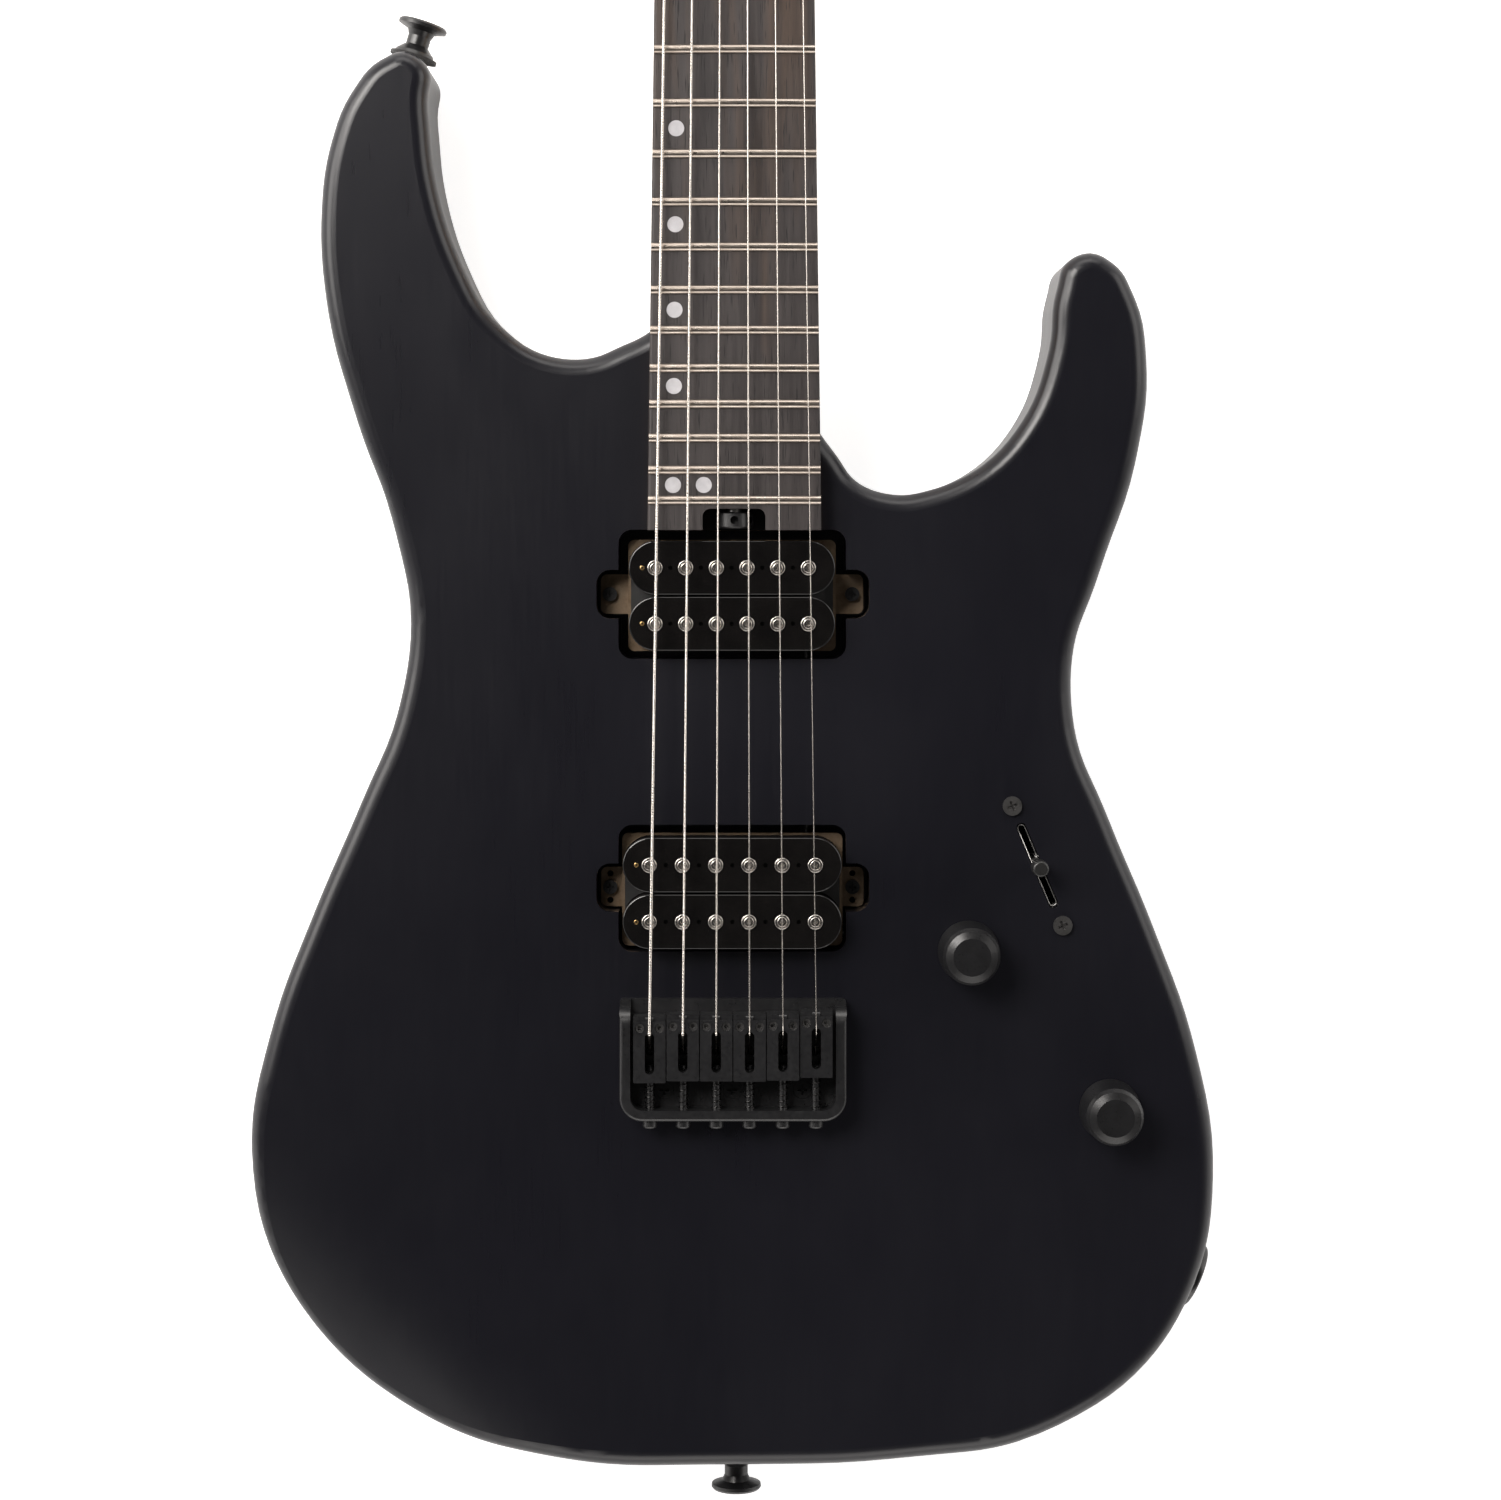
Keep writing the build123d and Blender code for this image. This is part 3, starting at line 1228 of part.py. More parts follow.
def make_strap_button(frame):
    profile = [
        (0, 1.2),
        (6.8, 1.2),
        (6.2, 2.4),
        (3.8, 4.6),
        (3.8, 7.6),
        (4.6, 9.4),
        (8.0, 10.6),
        (8.15, 11.6),
        (7.6, 12.3),
        (0, 12.3),
    ]
    return frame * (spin(profile) - Pos(0, 0, 12.3) * BRIDGE_SCREW.void())


def make_strap_washer(frame):
    ring = spin([(1.9, 0.05), (7.8, 0.05), (7.8, 1.15), (1.9, 1.15)])
    return frame * ring


# ---------------------------------------------------------------- wiring
WIRE_RADIUS = 1.1


WIRE_BEND = 2.6


def lead(*points):
    bends = [WIRE_BEND] * (len(points) - 2)
    line = FilletPolyline(*points, radius=bends)
    return sweep(Plane(line @ 0, z_dir=line % 0) * Circle(WIRE_RADIUS), path=line)


def selector_point(along, across, z):
    spot = SELECTOR_PLACE * Pos(along, across, z)
    return spot.position.X, spot.position.Y, z


def jack_point(across, depth):
    spot = JACK_FRAME * Pos(across, 0, depth)
    return spot.position.X, spot.position.Y, JACK_Z


LUG_END = 12.6
LUG_Z = 34.3
LUG_OFFSETS = (-4.7, -0.7, 3.3)


def lug_point(spot, number, reach):
    return spot[0] + LUG_OFFSETS[number], spot[1] + LUG_END + reach, LUG_Z


def make_wiring():
    """Leads in the hidden channels: pickups to selector, selector to controls, controls to jack."""
    z = 28.0
    neck_base = NECK_PICKUP_TOP - BOBBIN_HEIGHT - 3.0 - BASEPLATE_THICKNESS - 0.1
    bridge_base = BRIDGE_PICKUP_TOP - BOBBIN_HEIGHT - 3.0 - BASEPLATE_THICKNESS - 0.1
    south = CONTROL_CHANNEL_Y - 1.4
    north = CONTROL_CHANNEL_Y + 1.6
    neck_lead = lead(
        (NECK_CHANNEL_X, 127.0, neck_base),
        (NECK_CHANNEL_X, 127.0, z),
        (NECK_CHANNEL_X, south, z),
        (64.0, south, z),
        (70.0, 22.0, 16.0),
        selector_point(-12.0, -12.0, 14.0),
        selector_point(-12.0, 3.3, 14.0),
    )
    bridge_lead = lead(
        (30.0, 40.0, bridge_base),
        (30.0, 40.0, z),
        (30.0, north, z),
        (64.0, north, z),
        (76.0, 40.0, 24.0),
        selector_point(-4.0, -8.0, 20.0),
        selector_point(-4.0, 3.3, 20.0),
    )
    volume_lead = lead(
        selector_point(6.0, 3.3, 16.0),
        selector_point(6.0, -10.0, 16.0),
        lug_point(VOLUME_SPOT, 2, 10.4),
        lug_point(VOLUME_SPOT, 2, 0.0),
    )
    tone_lead = lead(
        lug_point(VOLUME_SPOT, 1, 0.0),
        lug_point(VOLUME_SPOT, 1, 5.2),
        (90.0, 22.0, 22.0),
        lug_point(TONE_SPOT, 0, 13.0),
        lug_point(TONE_SPOT, 0, 0.0),
    )
    jack_lead = lead(
        lug_point(VOLUME_SPOT, 0, 0.0),
        lug_point(VOLUME_SPOT, 0, 5.0),
        (63.0, 24.0, 14.0),
        (66.0, -6.0, 14.0),
        jack_point(3.0, JACK_INNER_END - 13.0),
        jack_point(3.0, JACK_INNER_END - 5.3),
    )
    x, y, lug_z = lug_point(TONE_SPOT, 1, 0.0)
    capacitor = box(x - 1, x + 5, y + 2, y + 4.4, lug_z - 1.5, lug_z + 1.5)
    capacitor = fillet(capacitor.edges(), 0.8)
    for k in (1, 2):
        lx, ly, lz = lug_point(TONE_SPOT, k, 0.0)
        capacitor += rod((lx, ly, lz), (lx, ly + 3, lz), 0.35)
    return group([neck_lead, bridge_lead, volume_lead, tone_lead, jack_lead, capacitor])


# ---------------------------------------------------------------- the nodes
def make_nodes():
    count = range(STRING_COUNT)
    nodes = {
        "body": make_body(),
        "neck": make_neck(),
        "fingerboard": make_fingerboard(),
        "frets": group([make_fret(n) for n in range(1, FRET_COUNT + 1)]),
        "position_dots": make_dots(),
        "nut": make_nut(),
        "truss_rod": make_truss_rod(),
        "truss_wheel": make_truss_wheel(),
        "neck_screws": group([p * NECK_SCREW.solid() for p in NECK_SCREW_PLACES]),
        "neck_ferrules": group([make_neck_ferrule(x, y) for x, y in NECK_SCREW_SPOTS]),
        "string_retainer": make_retainer(),
        "small_screws": group([p * SMALL_SCREW.solid() for p in small_screw_places()]),
        "tuner_housings": group([make_tuner_housing(i) for i in count]),
        "tuner_bushings": group([make_tuner_bushing(i) for i in count]),
        "strings": group([make_string(i) for i in count]),
        "string_ferrules": group([make_string_ferrule(i) for i in count]),
        "bridge_plate": make_bridge_plate(),
        "large_screws": group([p * BRIDGE_SCREW.solid() for p in BRIDGE_SCREW_PLACES + STRAP_SCREW_PLACES]),
        "intonation_screws": group([make_intonation_screw(i) for i in count]),
        "intonation_springs": group([make_intonation_spring(i) for i in count]),
        "pickup_springs": make_pickup_springs(),
        "pots": group([make_pot(*VOLUME_SPOT), make_pot(*TONE_SPOT)]),
        "panel_nuts": make_panel_nuts(),
        "selector_frame": make_selector_frame(),
        "selector_screws": group([p * SELECTOR_SCREW.solid() for p in SELECTOR_SCREW_PLACES]),
        "selector_lever": make_selector_lever(),
        "selector_tip": make_selector_tip(),
        "volume_knob": make_knob(*VOLUME_SPOT),
        "tone_knob": make_knob(*TONE_SPOT),
        "control_cover": make_control_cover(),
        "output_jack": make_output_jack(),
        "strap_buttons": group([make_strap_button(f) for f in STRAP_FRAMES]),
        "strap_washers": group([make_strap_washer(f) for f in STRAP_FRAMES]),
        "wiring": make_wiring(),
    }
    for i in count:
        nodes[f"tuner_post_{i + 1}"] = make_tuner_post(i)
        nodes[f"tuner_button_{i + 1}"] = make_tuner_button(i)
        nodes[f"saddle_{i + 1}"] = make_saddle(i)
    for name, pickup in (("neck_pickup", NECK_PICKUP), ("bridge_pickup", BRIDGE_PICKUP)):
        nodes[name + "_bobbins"] = make_bobbins(pickup)
        nodes[name + "_coils"] = make_coils(pickup)
        nodes[name + "_screws"] = make_pickup_screws(pickup)
        nodes[name + "_baseplate"] = make_baseplate(pickup)
    return nodes


os.makedirs("parts", exist_ok=True)
for node_name, node_shape in make_nodes().items():
    export_step(node_shape, f"parts/{node_name}.step")
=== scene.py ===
"""Electric guitar: finishes, wound strings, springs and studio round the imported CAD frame.

Metres. +Z out of the guitar's top, +Y towards the headstock, +X to the treble side.
"""

import math

import bmesh
import bpy
import numpy as np
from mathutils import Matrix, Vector


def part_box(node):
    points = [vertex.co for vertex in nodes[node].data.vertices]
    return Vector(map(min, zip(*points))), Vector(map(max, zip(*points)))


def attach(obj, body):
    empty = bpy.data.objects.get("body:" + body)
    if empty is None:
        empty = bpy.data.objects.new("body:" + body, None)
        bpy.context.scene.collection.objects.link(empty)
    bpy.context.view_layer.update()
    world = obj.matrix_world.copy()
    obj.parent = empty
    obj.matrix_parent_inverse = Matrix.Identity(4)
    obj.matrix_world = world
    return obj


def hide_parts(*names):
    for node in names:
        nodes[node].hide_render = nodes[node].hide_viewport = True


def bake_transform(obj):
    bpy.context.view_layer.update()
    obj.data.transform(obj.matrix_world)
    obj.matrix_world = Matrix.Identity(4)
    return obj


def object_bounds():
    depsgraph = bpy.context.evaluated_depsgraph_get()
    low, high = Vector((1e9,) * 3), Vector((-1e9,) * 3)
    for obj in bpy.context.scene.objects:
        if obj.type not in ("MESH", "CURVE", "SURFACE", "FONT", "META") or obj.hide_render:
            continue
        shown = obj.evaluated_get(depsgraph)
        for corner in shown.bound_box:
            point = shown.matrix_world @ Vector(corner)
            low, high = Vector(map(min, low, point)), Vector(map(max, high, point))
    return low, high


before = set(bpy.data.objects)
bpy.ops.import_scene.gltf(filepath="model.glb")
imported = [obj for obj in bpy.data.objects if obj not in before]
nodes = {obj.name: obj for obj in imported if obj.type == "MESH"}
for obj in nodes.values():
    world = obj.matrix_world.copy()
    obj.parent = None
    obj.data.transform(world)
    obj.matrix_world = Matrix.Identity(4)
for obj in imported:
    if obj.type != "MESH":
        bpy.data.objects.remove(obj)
cad_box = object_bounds()

MM = 0.001
STRING_COUNT = 6
ROOT = "guitar_body"
PICKUPS = ("neck_pickup", "bridge_pickup")


# ---------------------------------------------------------------- camera, floor and light
CAMERA_PLACE = (0.0, 0.1403, 1.050)
LENS = 75.0
SENSOR = 36.0
SHIFT = (0.0107, -0.1213)
CLIP_NEAR, CLIP_FAR = 0.05, 50.0


def make_camera():
    data = bpy.data.cameras.new("camera")
    data.lens = LENS
    data.sensor_width = SENSOR
    data.shift_x, data.shift_y = SHIFT
    data.clip_start = CLIP_NEAR
    data.clip_end = CLIP_FAR
    camera = bpy.data.objects.new("camera", data)
    camera.location = CAMERA_PLACE
    bpy.context.scene.collection.objects.link(camera)
    bpy.context.scene.camera = camera


FLOOR_HALF_SIZE = 12.0
FLOOR_GAP = 0.0002
FLOOR_ALBEDO = 0.80
FLOOR_GLOW = 0.80  # what the camera sees
FLOOR_BOUNCE = 0.35  # what the guitar's sides see


def make_floor():
    """A pale floor just under the guitar's back. Its own glow keeps the shadows faint."""
    size = FLOOR_HALF_SIZE
    z = cad_box[0].z - FLOOR_GAP
    corners = [(x * size, y * size, z) for x, y in ((-1, -1), (1, -1), (1, 1), (-1, 1))]
    mesh = bpy.data.meshes.new("floor")
    mesh.from_pydata(corners, [], [(0, 1, 2, 3)])
    floor = bpy.data.objects.new("floor", mesh)
    bpy.context.scene.collection.objects.link(floor)
    paper = bpy.data.materials.new("floor_paper")
    paper.use_nodes = True
    tree = paper.node_tree
    shader = tree.nodes["Principled BSDF"]
    shader.inputs["Base Color"].default_value = (*[FLOOR_ALBEDO] * 3, 1)
    shader.inputs["Roughness"].default_value = 0.9
    shader.inputs["Specular IOR Level"].default_value = 0.1
    shader.inputs["Emission Color"].default_value = (1, 1, 1, 1)
    path = tree.nodes.new("ShaderNodeLightPath")
    glow = tree.nodes.new("ShaderNodeMath")
    glow.operation = "MULTIPLY_ADD"
    glow.inputs[1].default_value = FLOOR_GLOW - FLOOR_BOUNCE
    glow.inputs[2].default_value = FLOOR_BOUNCE
    tree.links.new(path.outputs["Is Camera Ray"], glow.inputs[0])
    tree.links.new(glow.outputs[0], shader.inputs["Emission Strength"])
    mesh.materials.append(paper)


# sine of the elevation, brightness
WORLD_BANDS = [(0.0, 1.3), (0.12, 1.3), (0.34, 0.5), (0.66, 0.1), (1.0, 0.022)]
WORLD_WARMTH = (1.0, 0.965, 0.94)
BACKDROP_LEVEL = 0.93


def make_world():
    """A light tent: bright walls all round, and a dark opening overhead."""
    world = bpy.data.worlds.new("studio")
    bpy.context.scene.world = world
    world.use_nodes = True
    tree = world.node_tree
    tree.nodes.clear()
    output = tree.nodes.new("ShaderNodeOutputWorld")
    place = tree.nodes.new("ShaderNodeTexCoord")
    split = tree.nodes.new("ShaderNodeSeparateXYZ")
    ramp = tree.nodes.new("ShaderNodeValToRGB")
    tent = tree.nodes.new("ShaderNodeBackground")
    backdrop = tree.nodes.new("ShaderNodeBackground")
    path = tree.nodes.new("ShaderNodeLightPath")
    mix = tree.nodes.new("ShaderNodeMixShader")
    elements = ramp.color_ramp.elements
    elements.remove(elements[1])
    brightest = max(level for position, level in WORLD_BANDS)
    for k, (position, level) in enumerate(WORLD_BANDS):
        element = elements[0] if k == 0 else elements.new(position)
        element.position = position
        element.color = (*[level / brightest * tint for tint in WORLD_WARMTH], 1)
    tent.inputs["Strength"].default_value = brightest
    backdrop.inputs["Color"].default_value = (*[BACKDROP_LEVEL] * 3, 1)
    tree.links.new(place.outputs["Generated"], split.inputs[0])
    tree.links.new(split.outputs["Z"], ramp.inputs[0])
    tree.links.new(ramp.outputs[0], tent.inputs["Color"])
    tree.links.new(path.outputs["Is Camera Ray"], mix.inputs[0])
    tree.links.new(tent.outputs[0], mix.inputs[1])
    tree.links.new(backdrop.outputs[0], mix.inputs[2])
    tree.links.new(mix.outputs[0], output.inputs[0])


SOFTBOXES = [
    # place, size, power
    ((-1.55, 0.75, 0.95), (1.3, 1.0), 22.0),
    ((1.55, 0.75, 0.95), (1.3, 1.0), 9.0),
    ((0.0, -1.45, 0.85), (1.8, 0.8), 9.0),
    ((0.0, 2.10, 0.95), (1.8, 0.8), 13.0),
    ((-1.0, 1.15, 1.75), (0.9, 0.9), 38.0),
]
LIGHT_TARGET = Vector((0.0, 0.15, 0.0))
LIGHT_WARMTH = (1.0, 0.965, 0.93)


def make_lights():
    for k, (place, size, power) in enumerate(SOFTBOXES):
        data = bpy.data.lights.new(f"softbox_{k}", "AREA")
        data.shape = "RECTANGLE"
        data.size, data.size_y = size
        data.energy = power
        data.color = LIGHT_WARMTH
        lamp = bpy.data.objects.new(f"softbox_{k}", data)
        lamp.location = place
        aim = LIGHT_TARGET - Vector(place)
        lamp.rotation_euler = aim.to_track_quat("-Z", "Y").to_euler()
        lamp.visible_camera = False
        bpy.context.scene.collection.objects.link(lamp)


# ---------------------------------------------------------------- materials
class Finish:
    """A material built from nodes. Its patterns follow each piece's own place, in metres."""

    def __init__(self, name, **constants):
        self.material = bpy.data.materials.new(name)
        self.material.use_nodes = True
        self.tree = self.material.node_tree
        self.shader = self.tree.nodes["Principled BSDF"]
        self.place = self.add("ShaderNodeTexCoord").outputs["Object"]
        self.normal = None
        for key, value in constants.items():
            socket = key.replace("_", " ").title().replace("Ior", "IOR")
            self.shader.inputs[socket].default_value = value

    def add(self, kind, inputs=None, **settings):
        node = self.tree.nodes.new(kind)
        for key, value in settings.items():
            setattr(node, key, value)
        for key, value in (inputs or {}).items():
            self.feed(node.inputs[key], value)
        return node

    def feed(self, socket, value):
        if isinstance(value, bpy.types.NodeSocket):
            self.tree.links.new(value, socket)
        elif isinstance(value, tuple) and len(value) == 3 and socket.type == "RGBA":
            socket.default_value = (*value, 1)
        else:
            socket.default_value = value

    def stretched(self, stretch):
        inputs = {"Vector": self.place, "Scale": stretch}
        return self.add("ShaderNodeMapping", inputs).outputs[0]

    def noise(self, scale, stretch=(1, 1, 1), detail=3.0, rough=0.55, warp=0.0):
        inputs = {
            "Vector": self.stretched(stretch), "Scale": scale, "Detail": detail,
            "Roughness": rough, "Distortion": warp,
        }
        return self.add("ShaderNodeTexNoise", inputs).outputs[0]

    def cells(self, scale):
        inputs = {"Vector": self.place, "Scale": scale}
        return self.add("ShaderNodeTexVoronoi", inputs).outputs["Distance"]

    def span(self, value, low, high, start=0.3, end=0.7):
        inputs = {
            "Value": value, "From Min": start, "From Max": end,
            "To Min": low, "To Max": high,
        }
        return self.add("ShaderNodeMapRange", inputs).outputs[0]

    def blend(self, factor, a, b, kind="MIX"):
        node = self.add("ShaderNodeMix", data_type="RGBA", blend_type=kind)
        self.feed(node.inputs[0], factor)
        self.feed(node.inputs[6], a)
        self.feed(node.inputs[7], b)
        return node.outputs[2]

    def sums(self, operation, a, b):
        node = self.add("ShaderNodeMath", operation=operation)
        self.feed(node.inputs[0], a)
        self.feed(node.inputs[1], b)
        return node.outputs[0]

    def colour(self, value):
        self.feed(self.shader.inputs["Base Color"], value)

    def roughness(self, value):
        self.feed(self.shader.inputs["Roughness"], value)

    def bump(self, height, distance):
        inputs = {"Height": height, "Distance": distance, "Strength": 1.0}
        if self.normal is not None:
            inputs["Normal"] = self.normal
        self.normal = self.add("ShaderNodeBump", inputs).outputs[0]
        self.feed(self.shader.inputs["Normal"], self.normal)


def coated(name, dark, light, low, high, patch=60.0, grain=1400.0, depth=6e-6, **constants):
    """A paint, plating or plastic: cloudy colour, uneven gloss, fine grain, hairline marks."""
    finish = Finish(name, **constants)
    cloud = finish.noise(patch, detail=4.0)
    finish.colour(finish.blend(finish.span(cloud, 0.0, 1.0), dark, light))
    marks = finish.noise(240.0, (1.0, 0.06, 1.0), detail=5.0, rough=0.7, warp=0.4)
    fine = finish.noise(patch * 9, detail=3.0)
    rubbed = finish.span(marks, 0.0, 0.05, 0.55, 0.75)
    finish.roughness(finish.sums("ADD", finish.span(fine, low, high), rubbed))
    finish.bump(finish.noise(grain, detail=2.0), depth)
    return finish


def bare_metal(name, dark, light, low, high, brush=(1.0, 1.0, 0.05), depth=3e-6, **constants):
    """Uncoated metal: brushed or polished, slightly tarnished in patches, with fine scratches."""
    finish = Finish(name, metallic=1.0, **constants)
    tarnish = finish.noise(180.0, detail=5.0, rough=0.65)
    finish.colour(finish.blend(finish.span(tarnish, 0.0, 1.0), dark, light))
    lines = finish.noise(2600.0, brush, detail=3.0, rough=0.6)
    dulled = finish.span(tarnish, high, low)
    finish.roughness(finish.sums("ADD", dulled, finish.span(lines, -0.03, 0.05)))
    finish.bump(lines, depth)
    return finish


def body_lacquer():
    """Satin black lacquer: faint orange peel, lengthwise sanding and soft smudges."""
    finish = Finish("satin_lacquer", specular_ior_level=0.5)
    cloud = finish.noise(9.0, detail=5.0)
    dark, light = (0.0040, 0.0040, 0.0066), (0.0062, 0.0061, 0.0094)
    finish.colour(finish.blend(finish.span(cloud, 0.0, 1.0), dark, light))
    smudge = finish.noise(16.0, (1.0, 0.5, 1.0), detail=6.0, rough=0.6, warp=0.6)
    sanding = finish.noise(900.0, (1.0, 0.04, 1.0), detail=2.0)
    satin = finish.span(smudge, 0.27, 0.33)
    finish.roughness(finish.sums("ADD", satin, finish.span(sanding, -0.012, 0.012)))
    finish.bump(finish.noise(420.0, detail=2.0), 9e-6)
    finish.bump(sanding, 1.2e-6)
    return finish


def fingerboard_wood():
    """Dark open-pored wood: long streaks, brown in places, with fine dark pores."""
    finish = Finish("dark_board_wood", specular_ior_level=0.42)
    streak = finish.noise(260.0, (1.0, 0.05, 0.4), detail=6.0, rough=0.62, warp=0.5)
    broad = finish.noise(46.0, (1.0, 0.09, 0.4), detail=3.0, warp=0.3)
    figure = finish.span(streak, 0.0, 1.0, 0.35, 0.66)
    grey = finish.blend(figure, (0.024, 0.020, 0.020), (0.054, 0.046, 0.045))
    brown = finish.blend(figure, (0.034, 0.022, 0.016), (0.088, 0.056, 0.038))
    wood = finish.blend(finish.span(broad, 0.0, 1.0, 0.54, 0.68), grey, brown)
    pores = finish.noise(2100.0, (1.0, 0.045, 0.6), detail=2.0, rough=0.5)
    pore_mask = finish.span(pores, 1.0, 0.0, 0.30, 0.40)
    finish.colour(finish.blend(pore_mask, wood, (0.010, 0.008, 0.008)))
    dull_pores = finish.span(pores, 0.10, 0.0, 0.3, 0.4)
    finish.roughness(finish.sums("ADD", finish.span(streak, 0.46, 0.58), dull_pores))
    finish.bump(finish.sums("MULTIPLY", pore_mask, -1.0), 3.5e-5)
    finish.bump(streak, 1.5e-5)
    return finish


def maple_wood():
    """Pale close-grained wood under a thin satin finish."""
    finish = Finish("maple", specular_ior_level=0.45)
    rings = finish.noise(34.0, (1.0, 0.035, 1.3), detail=5.0, rough=0.55, warp=0.7)
    figure = finish.noise(120.0, (0.35, 1.0, 0.35), detail=3.0)
    growth = finish.span(rings, 0.0, 1.0, 0.36, 0.64)
    wood = finish.blend(growth, (0.50, 0.30, 0.145), (0.66, 0.445, 0.24))
    wood = finish.blend(finish.span(figure, 0.0, 0.22, 0.45, 0.7), wood, (0.72, 0.50, 0.29))
    flecks = finish.noise(1500.0, (1.0, 0.04, 1.0), detail=2.0)
    wood = finish.blend(finish.span(flecks, 0.45, 0.0, 0.28, 0.38), wood, (0.30, 0.165, 0.07))
    finish.colour(wood)
    finish.roughness(finish.span(rings, 0.36, 0.46))
    finish.bump(flecks, 6e-6)
    finish.bump(finish.noise(500.0, detail=2.0), 4e-6)
    return finish


def felt_cloth():
    """Pressed black felt with tangled fibres and a soft sheen."""
    finish = Finish("felt_cloth", specular_ior_level=0.2, sheen_weight=0.35, sheen_roughness=0.5)
    fibres = finish.noise(2600.0, (1.0, 0.35, 1.0), detail=6.0, rough=0.75, warp=1.5)
    dark, light = (0.010, 0.010, 0.011), (0.055, 0.053, 0.052)
    finish.colour(finish.blend(finish.span(fibres, 0.0, 1.0), dark, light))
    finish.roughness(finish.span(fibres, 0.85, 1.0))
    finish.bump(fibres, 1.2e-4)
    return finish


def moulded_cover():
    """Black sheet plastic with a leather-like mould texture and rubbed high spots."""
    finish = Finish("cover_plastic_grained", specular_ior_level=0.45)
    pebbles = finish.cells(1100.0)
    cloud = finish.noise(30.0, detail=4.0)
    dark, light = (0.014, 0.014, 0.015), (0.024, 0.024, 0.026)
    finish.colour(finish.blend(finish.span(cloud, 0.0, 1.0), dark, light))
    grained = finish.span(pebbles, 0.40, 0.56, 0.1, 0.7)
    finish.roughness(finish.sums("ADD", grained, finish.span(cloud, -0.04, 0.05)))
    finish.bump(pebbles, 4e-5)
    return finish


def wound_tape():
    """Black coil tape with the edges of its turns showing."""
    finish = Finish("coil_tape_wrapped", specular_ior_level=0.5)
    turns = finish.noise(900.0, (0.05, 0.05, 1.0), detail=3.0, rough=0.7)
    dark, light = (0.008, 0.008, 0.009), (0.030, 0.029, 0.028)
    finish.colour(finish.blend(finish.span(turns, 0.0, 1.0), dark, light))
    finish.roughness(finish.span(turns, 0.35, 0.6))
    finish.bump(turns, 4e-5)
    return finish


ACROSS = (0.05, 1.0, 1.0)  # brush lines that run along X

# by the CAD's material slot
FINISHES = {
    "satin_black_body": body_lacquer(),
    "maple_neck": maple_wood(),
    "dark_fingerboard": fingerboard_wood(),
    "fret_wire": bare_metal(
        "fret_nickel", (0.40, 0.34, 0.29), (0.58, 0.51, 0.45), 0.24, 0.34, ACROSS,
    ),
    "white_dot": coated(
        "dot_plastic", (0.47, 0.46, 0.48), (0.60, 0.59, 0.61), 0.28, 0.36, patch=260.0,
        coat_weight=0.2,
    ),
    "nut_plastic": coated(
        "nut_graphite", (0.018, 0.018, 0.019), (0.034, 0.034, 0.035), 0.34, 0.46, patch=400.0,
    ),
    "black_metal": coated(
        "black_plating", (0.0065, 0.0065, 0.0072), (0.0115, 0.0115, 0.0125), 0.27, 0.37,
        patch=90.0, depth=4e-6, specular_ior_level=0.75,
    ),
    "steel": bare_metal("bright_steel", (0.46, 0.45, 0.44), (0.64, 0.63, 0.61), 0.24, 0.38),
    "string_steel": bare_metal(
        "string_nickel", (0.74, 0.68, 0.62), (0.88, 0.83, 0.77), 0.18, 0.30,
    ),
    "bobbin_plastic": coated(
        "bobbin_gloss", (0.0035, 0.0032, 0.0032), (0.0060, 0.0054, 0.0052), 0.10, 0.17,
        patch=120.0, depth=2e-6, coat_weight=0.3,
    ),
    "coil_tape": wound_tape(),
    "nickel_silver": bare_metal(
        "nickel_silver_sheet", (0.22, 0.155, 0.10), (0.40, 0.30, 0.21), 0.34, 0.5, ACROSS,
    ),
    "pole_steel": bare_metal(
        "pole_nickel", (0.66, 0.62, 0.58), (0.84, 0.80, 0.76), 0.14, 0.26, depth=2e-6,
    ),
    "control_parts": bare_metal(
        "pressed_cans", (0.42, 0.42, 0.43), (0.62, 0.62, 0.62), 0.30, 0.46,
    ),
    "knob_black": coated(
        "knob_satin", (0.006, 0.006, 0.0065), (0.010, 0.010, 0.011), 0.27, 0.34,
        patch=150.0, depth=3e-6, specular_ior_level=0.6,
    ),
    "tip_plastic": coated(
        "tip_moulded", (0.010, 0.010, 0.010), (0.018, 0.018, 0.018), 0.26, 0.36, patch=500.0,
    ),
    "cover_plastic": moulded_cover(),
    "felt": felt_cloth(),
    "wire_insulation": coated(
        "wire_jacket", (0.010, 0.010, 0.010), (0.030, 0.030, 0.030), 0.34, 0.5, patch=300.0,
    ),
    # finishes with no slot of their own
    "brass": bare_metal("brass_fitting", (0.46, 0.29, 0.11), (0.70, 0.48, 0.22), 0.22, 0.36),
    "black_screw": coated(
        "black_oxide", (0.006, 0.006, 0.0065), (0.013, 0.013, 0.014), 0.28, 0.42,
        patch=600.0, specular_ior_level=0.8,
    ),
    "black_spring": bare_metal(
        "blackened_wire", (0.035, 0.034, 0.034), (0.085, 0.083, 0.082), 0.2, 0.32,
    ),
    # painted shade: near-black put on the neck's truss-wheel notch, where the recess is in shade
    "notch_painted_shade": coated(
        "notch_painted_shade_black", (0.004, 0.004, 0.004), (0.009, 0.009, 0.009), 0.42, 0.6, patch=200.0,
    ),
    "grub_steel": bare_metal(
        "grub_screw_steel", (0.16, 0.155, 0.155), (0.30, 0.295, 0.29), 0.28, 0.42,
    ),
}

# nodes whose finish isn't that of their slot
OTHER_FINISH = {
    "truss_wheel": "black_screw",
    "large_screws": "black_screw",
    "small_screws": "black_screw",
    "neck_screws": "black_screw",
    "intonation_screws": "black_screw",
    "selector_screws": "grub_steel",
}


def dress_cad_nodes():
    for name, obj in nodes.items():
        slot = obj.data.materials[0].name.split(".")[0]
        key = OTHER_FINISH.get(name, slot)
        obj.data.materials.clear()
        obj.data.materials.append(FINISHES[key].material)


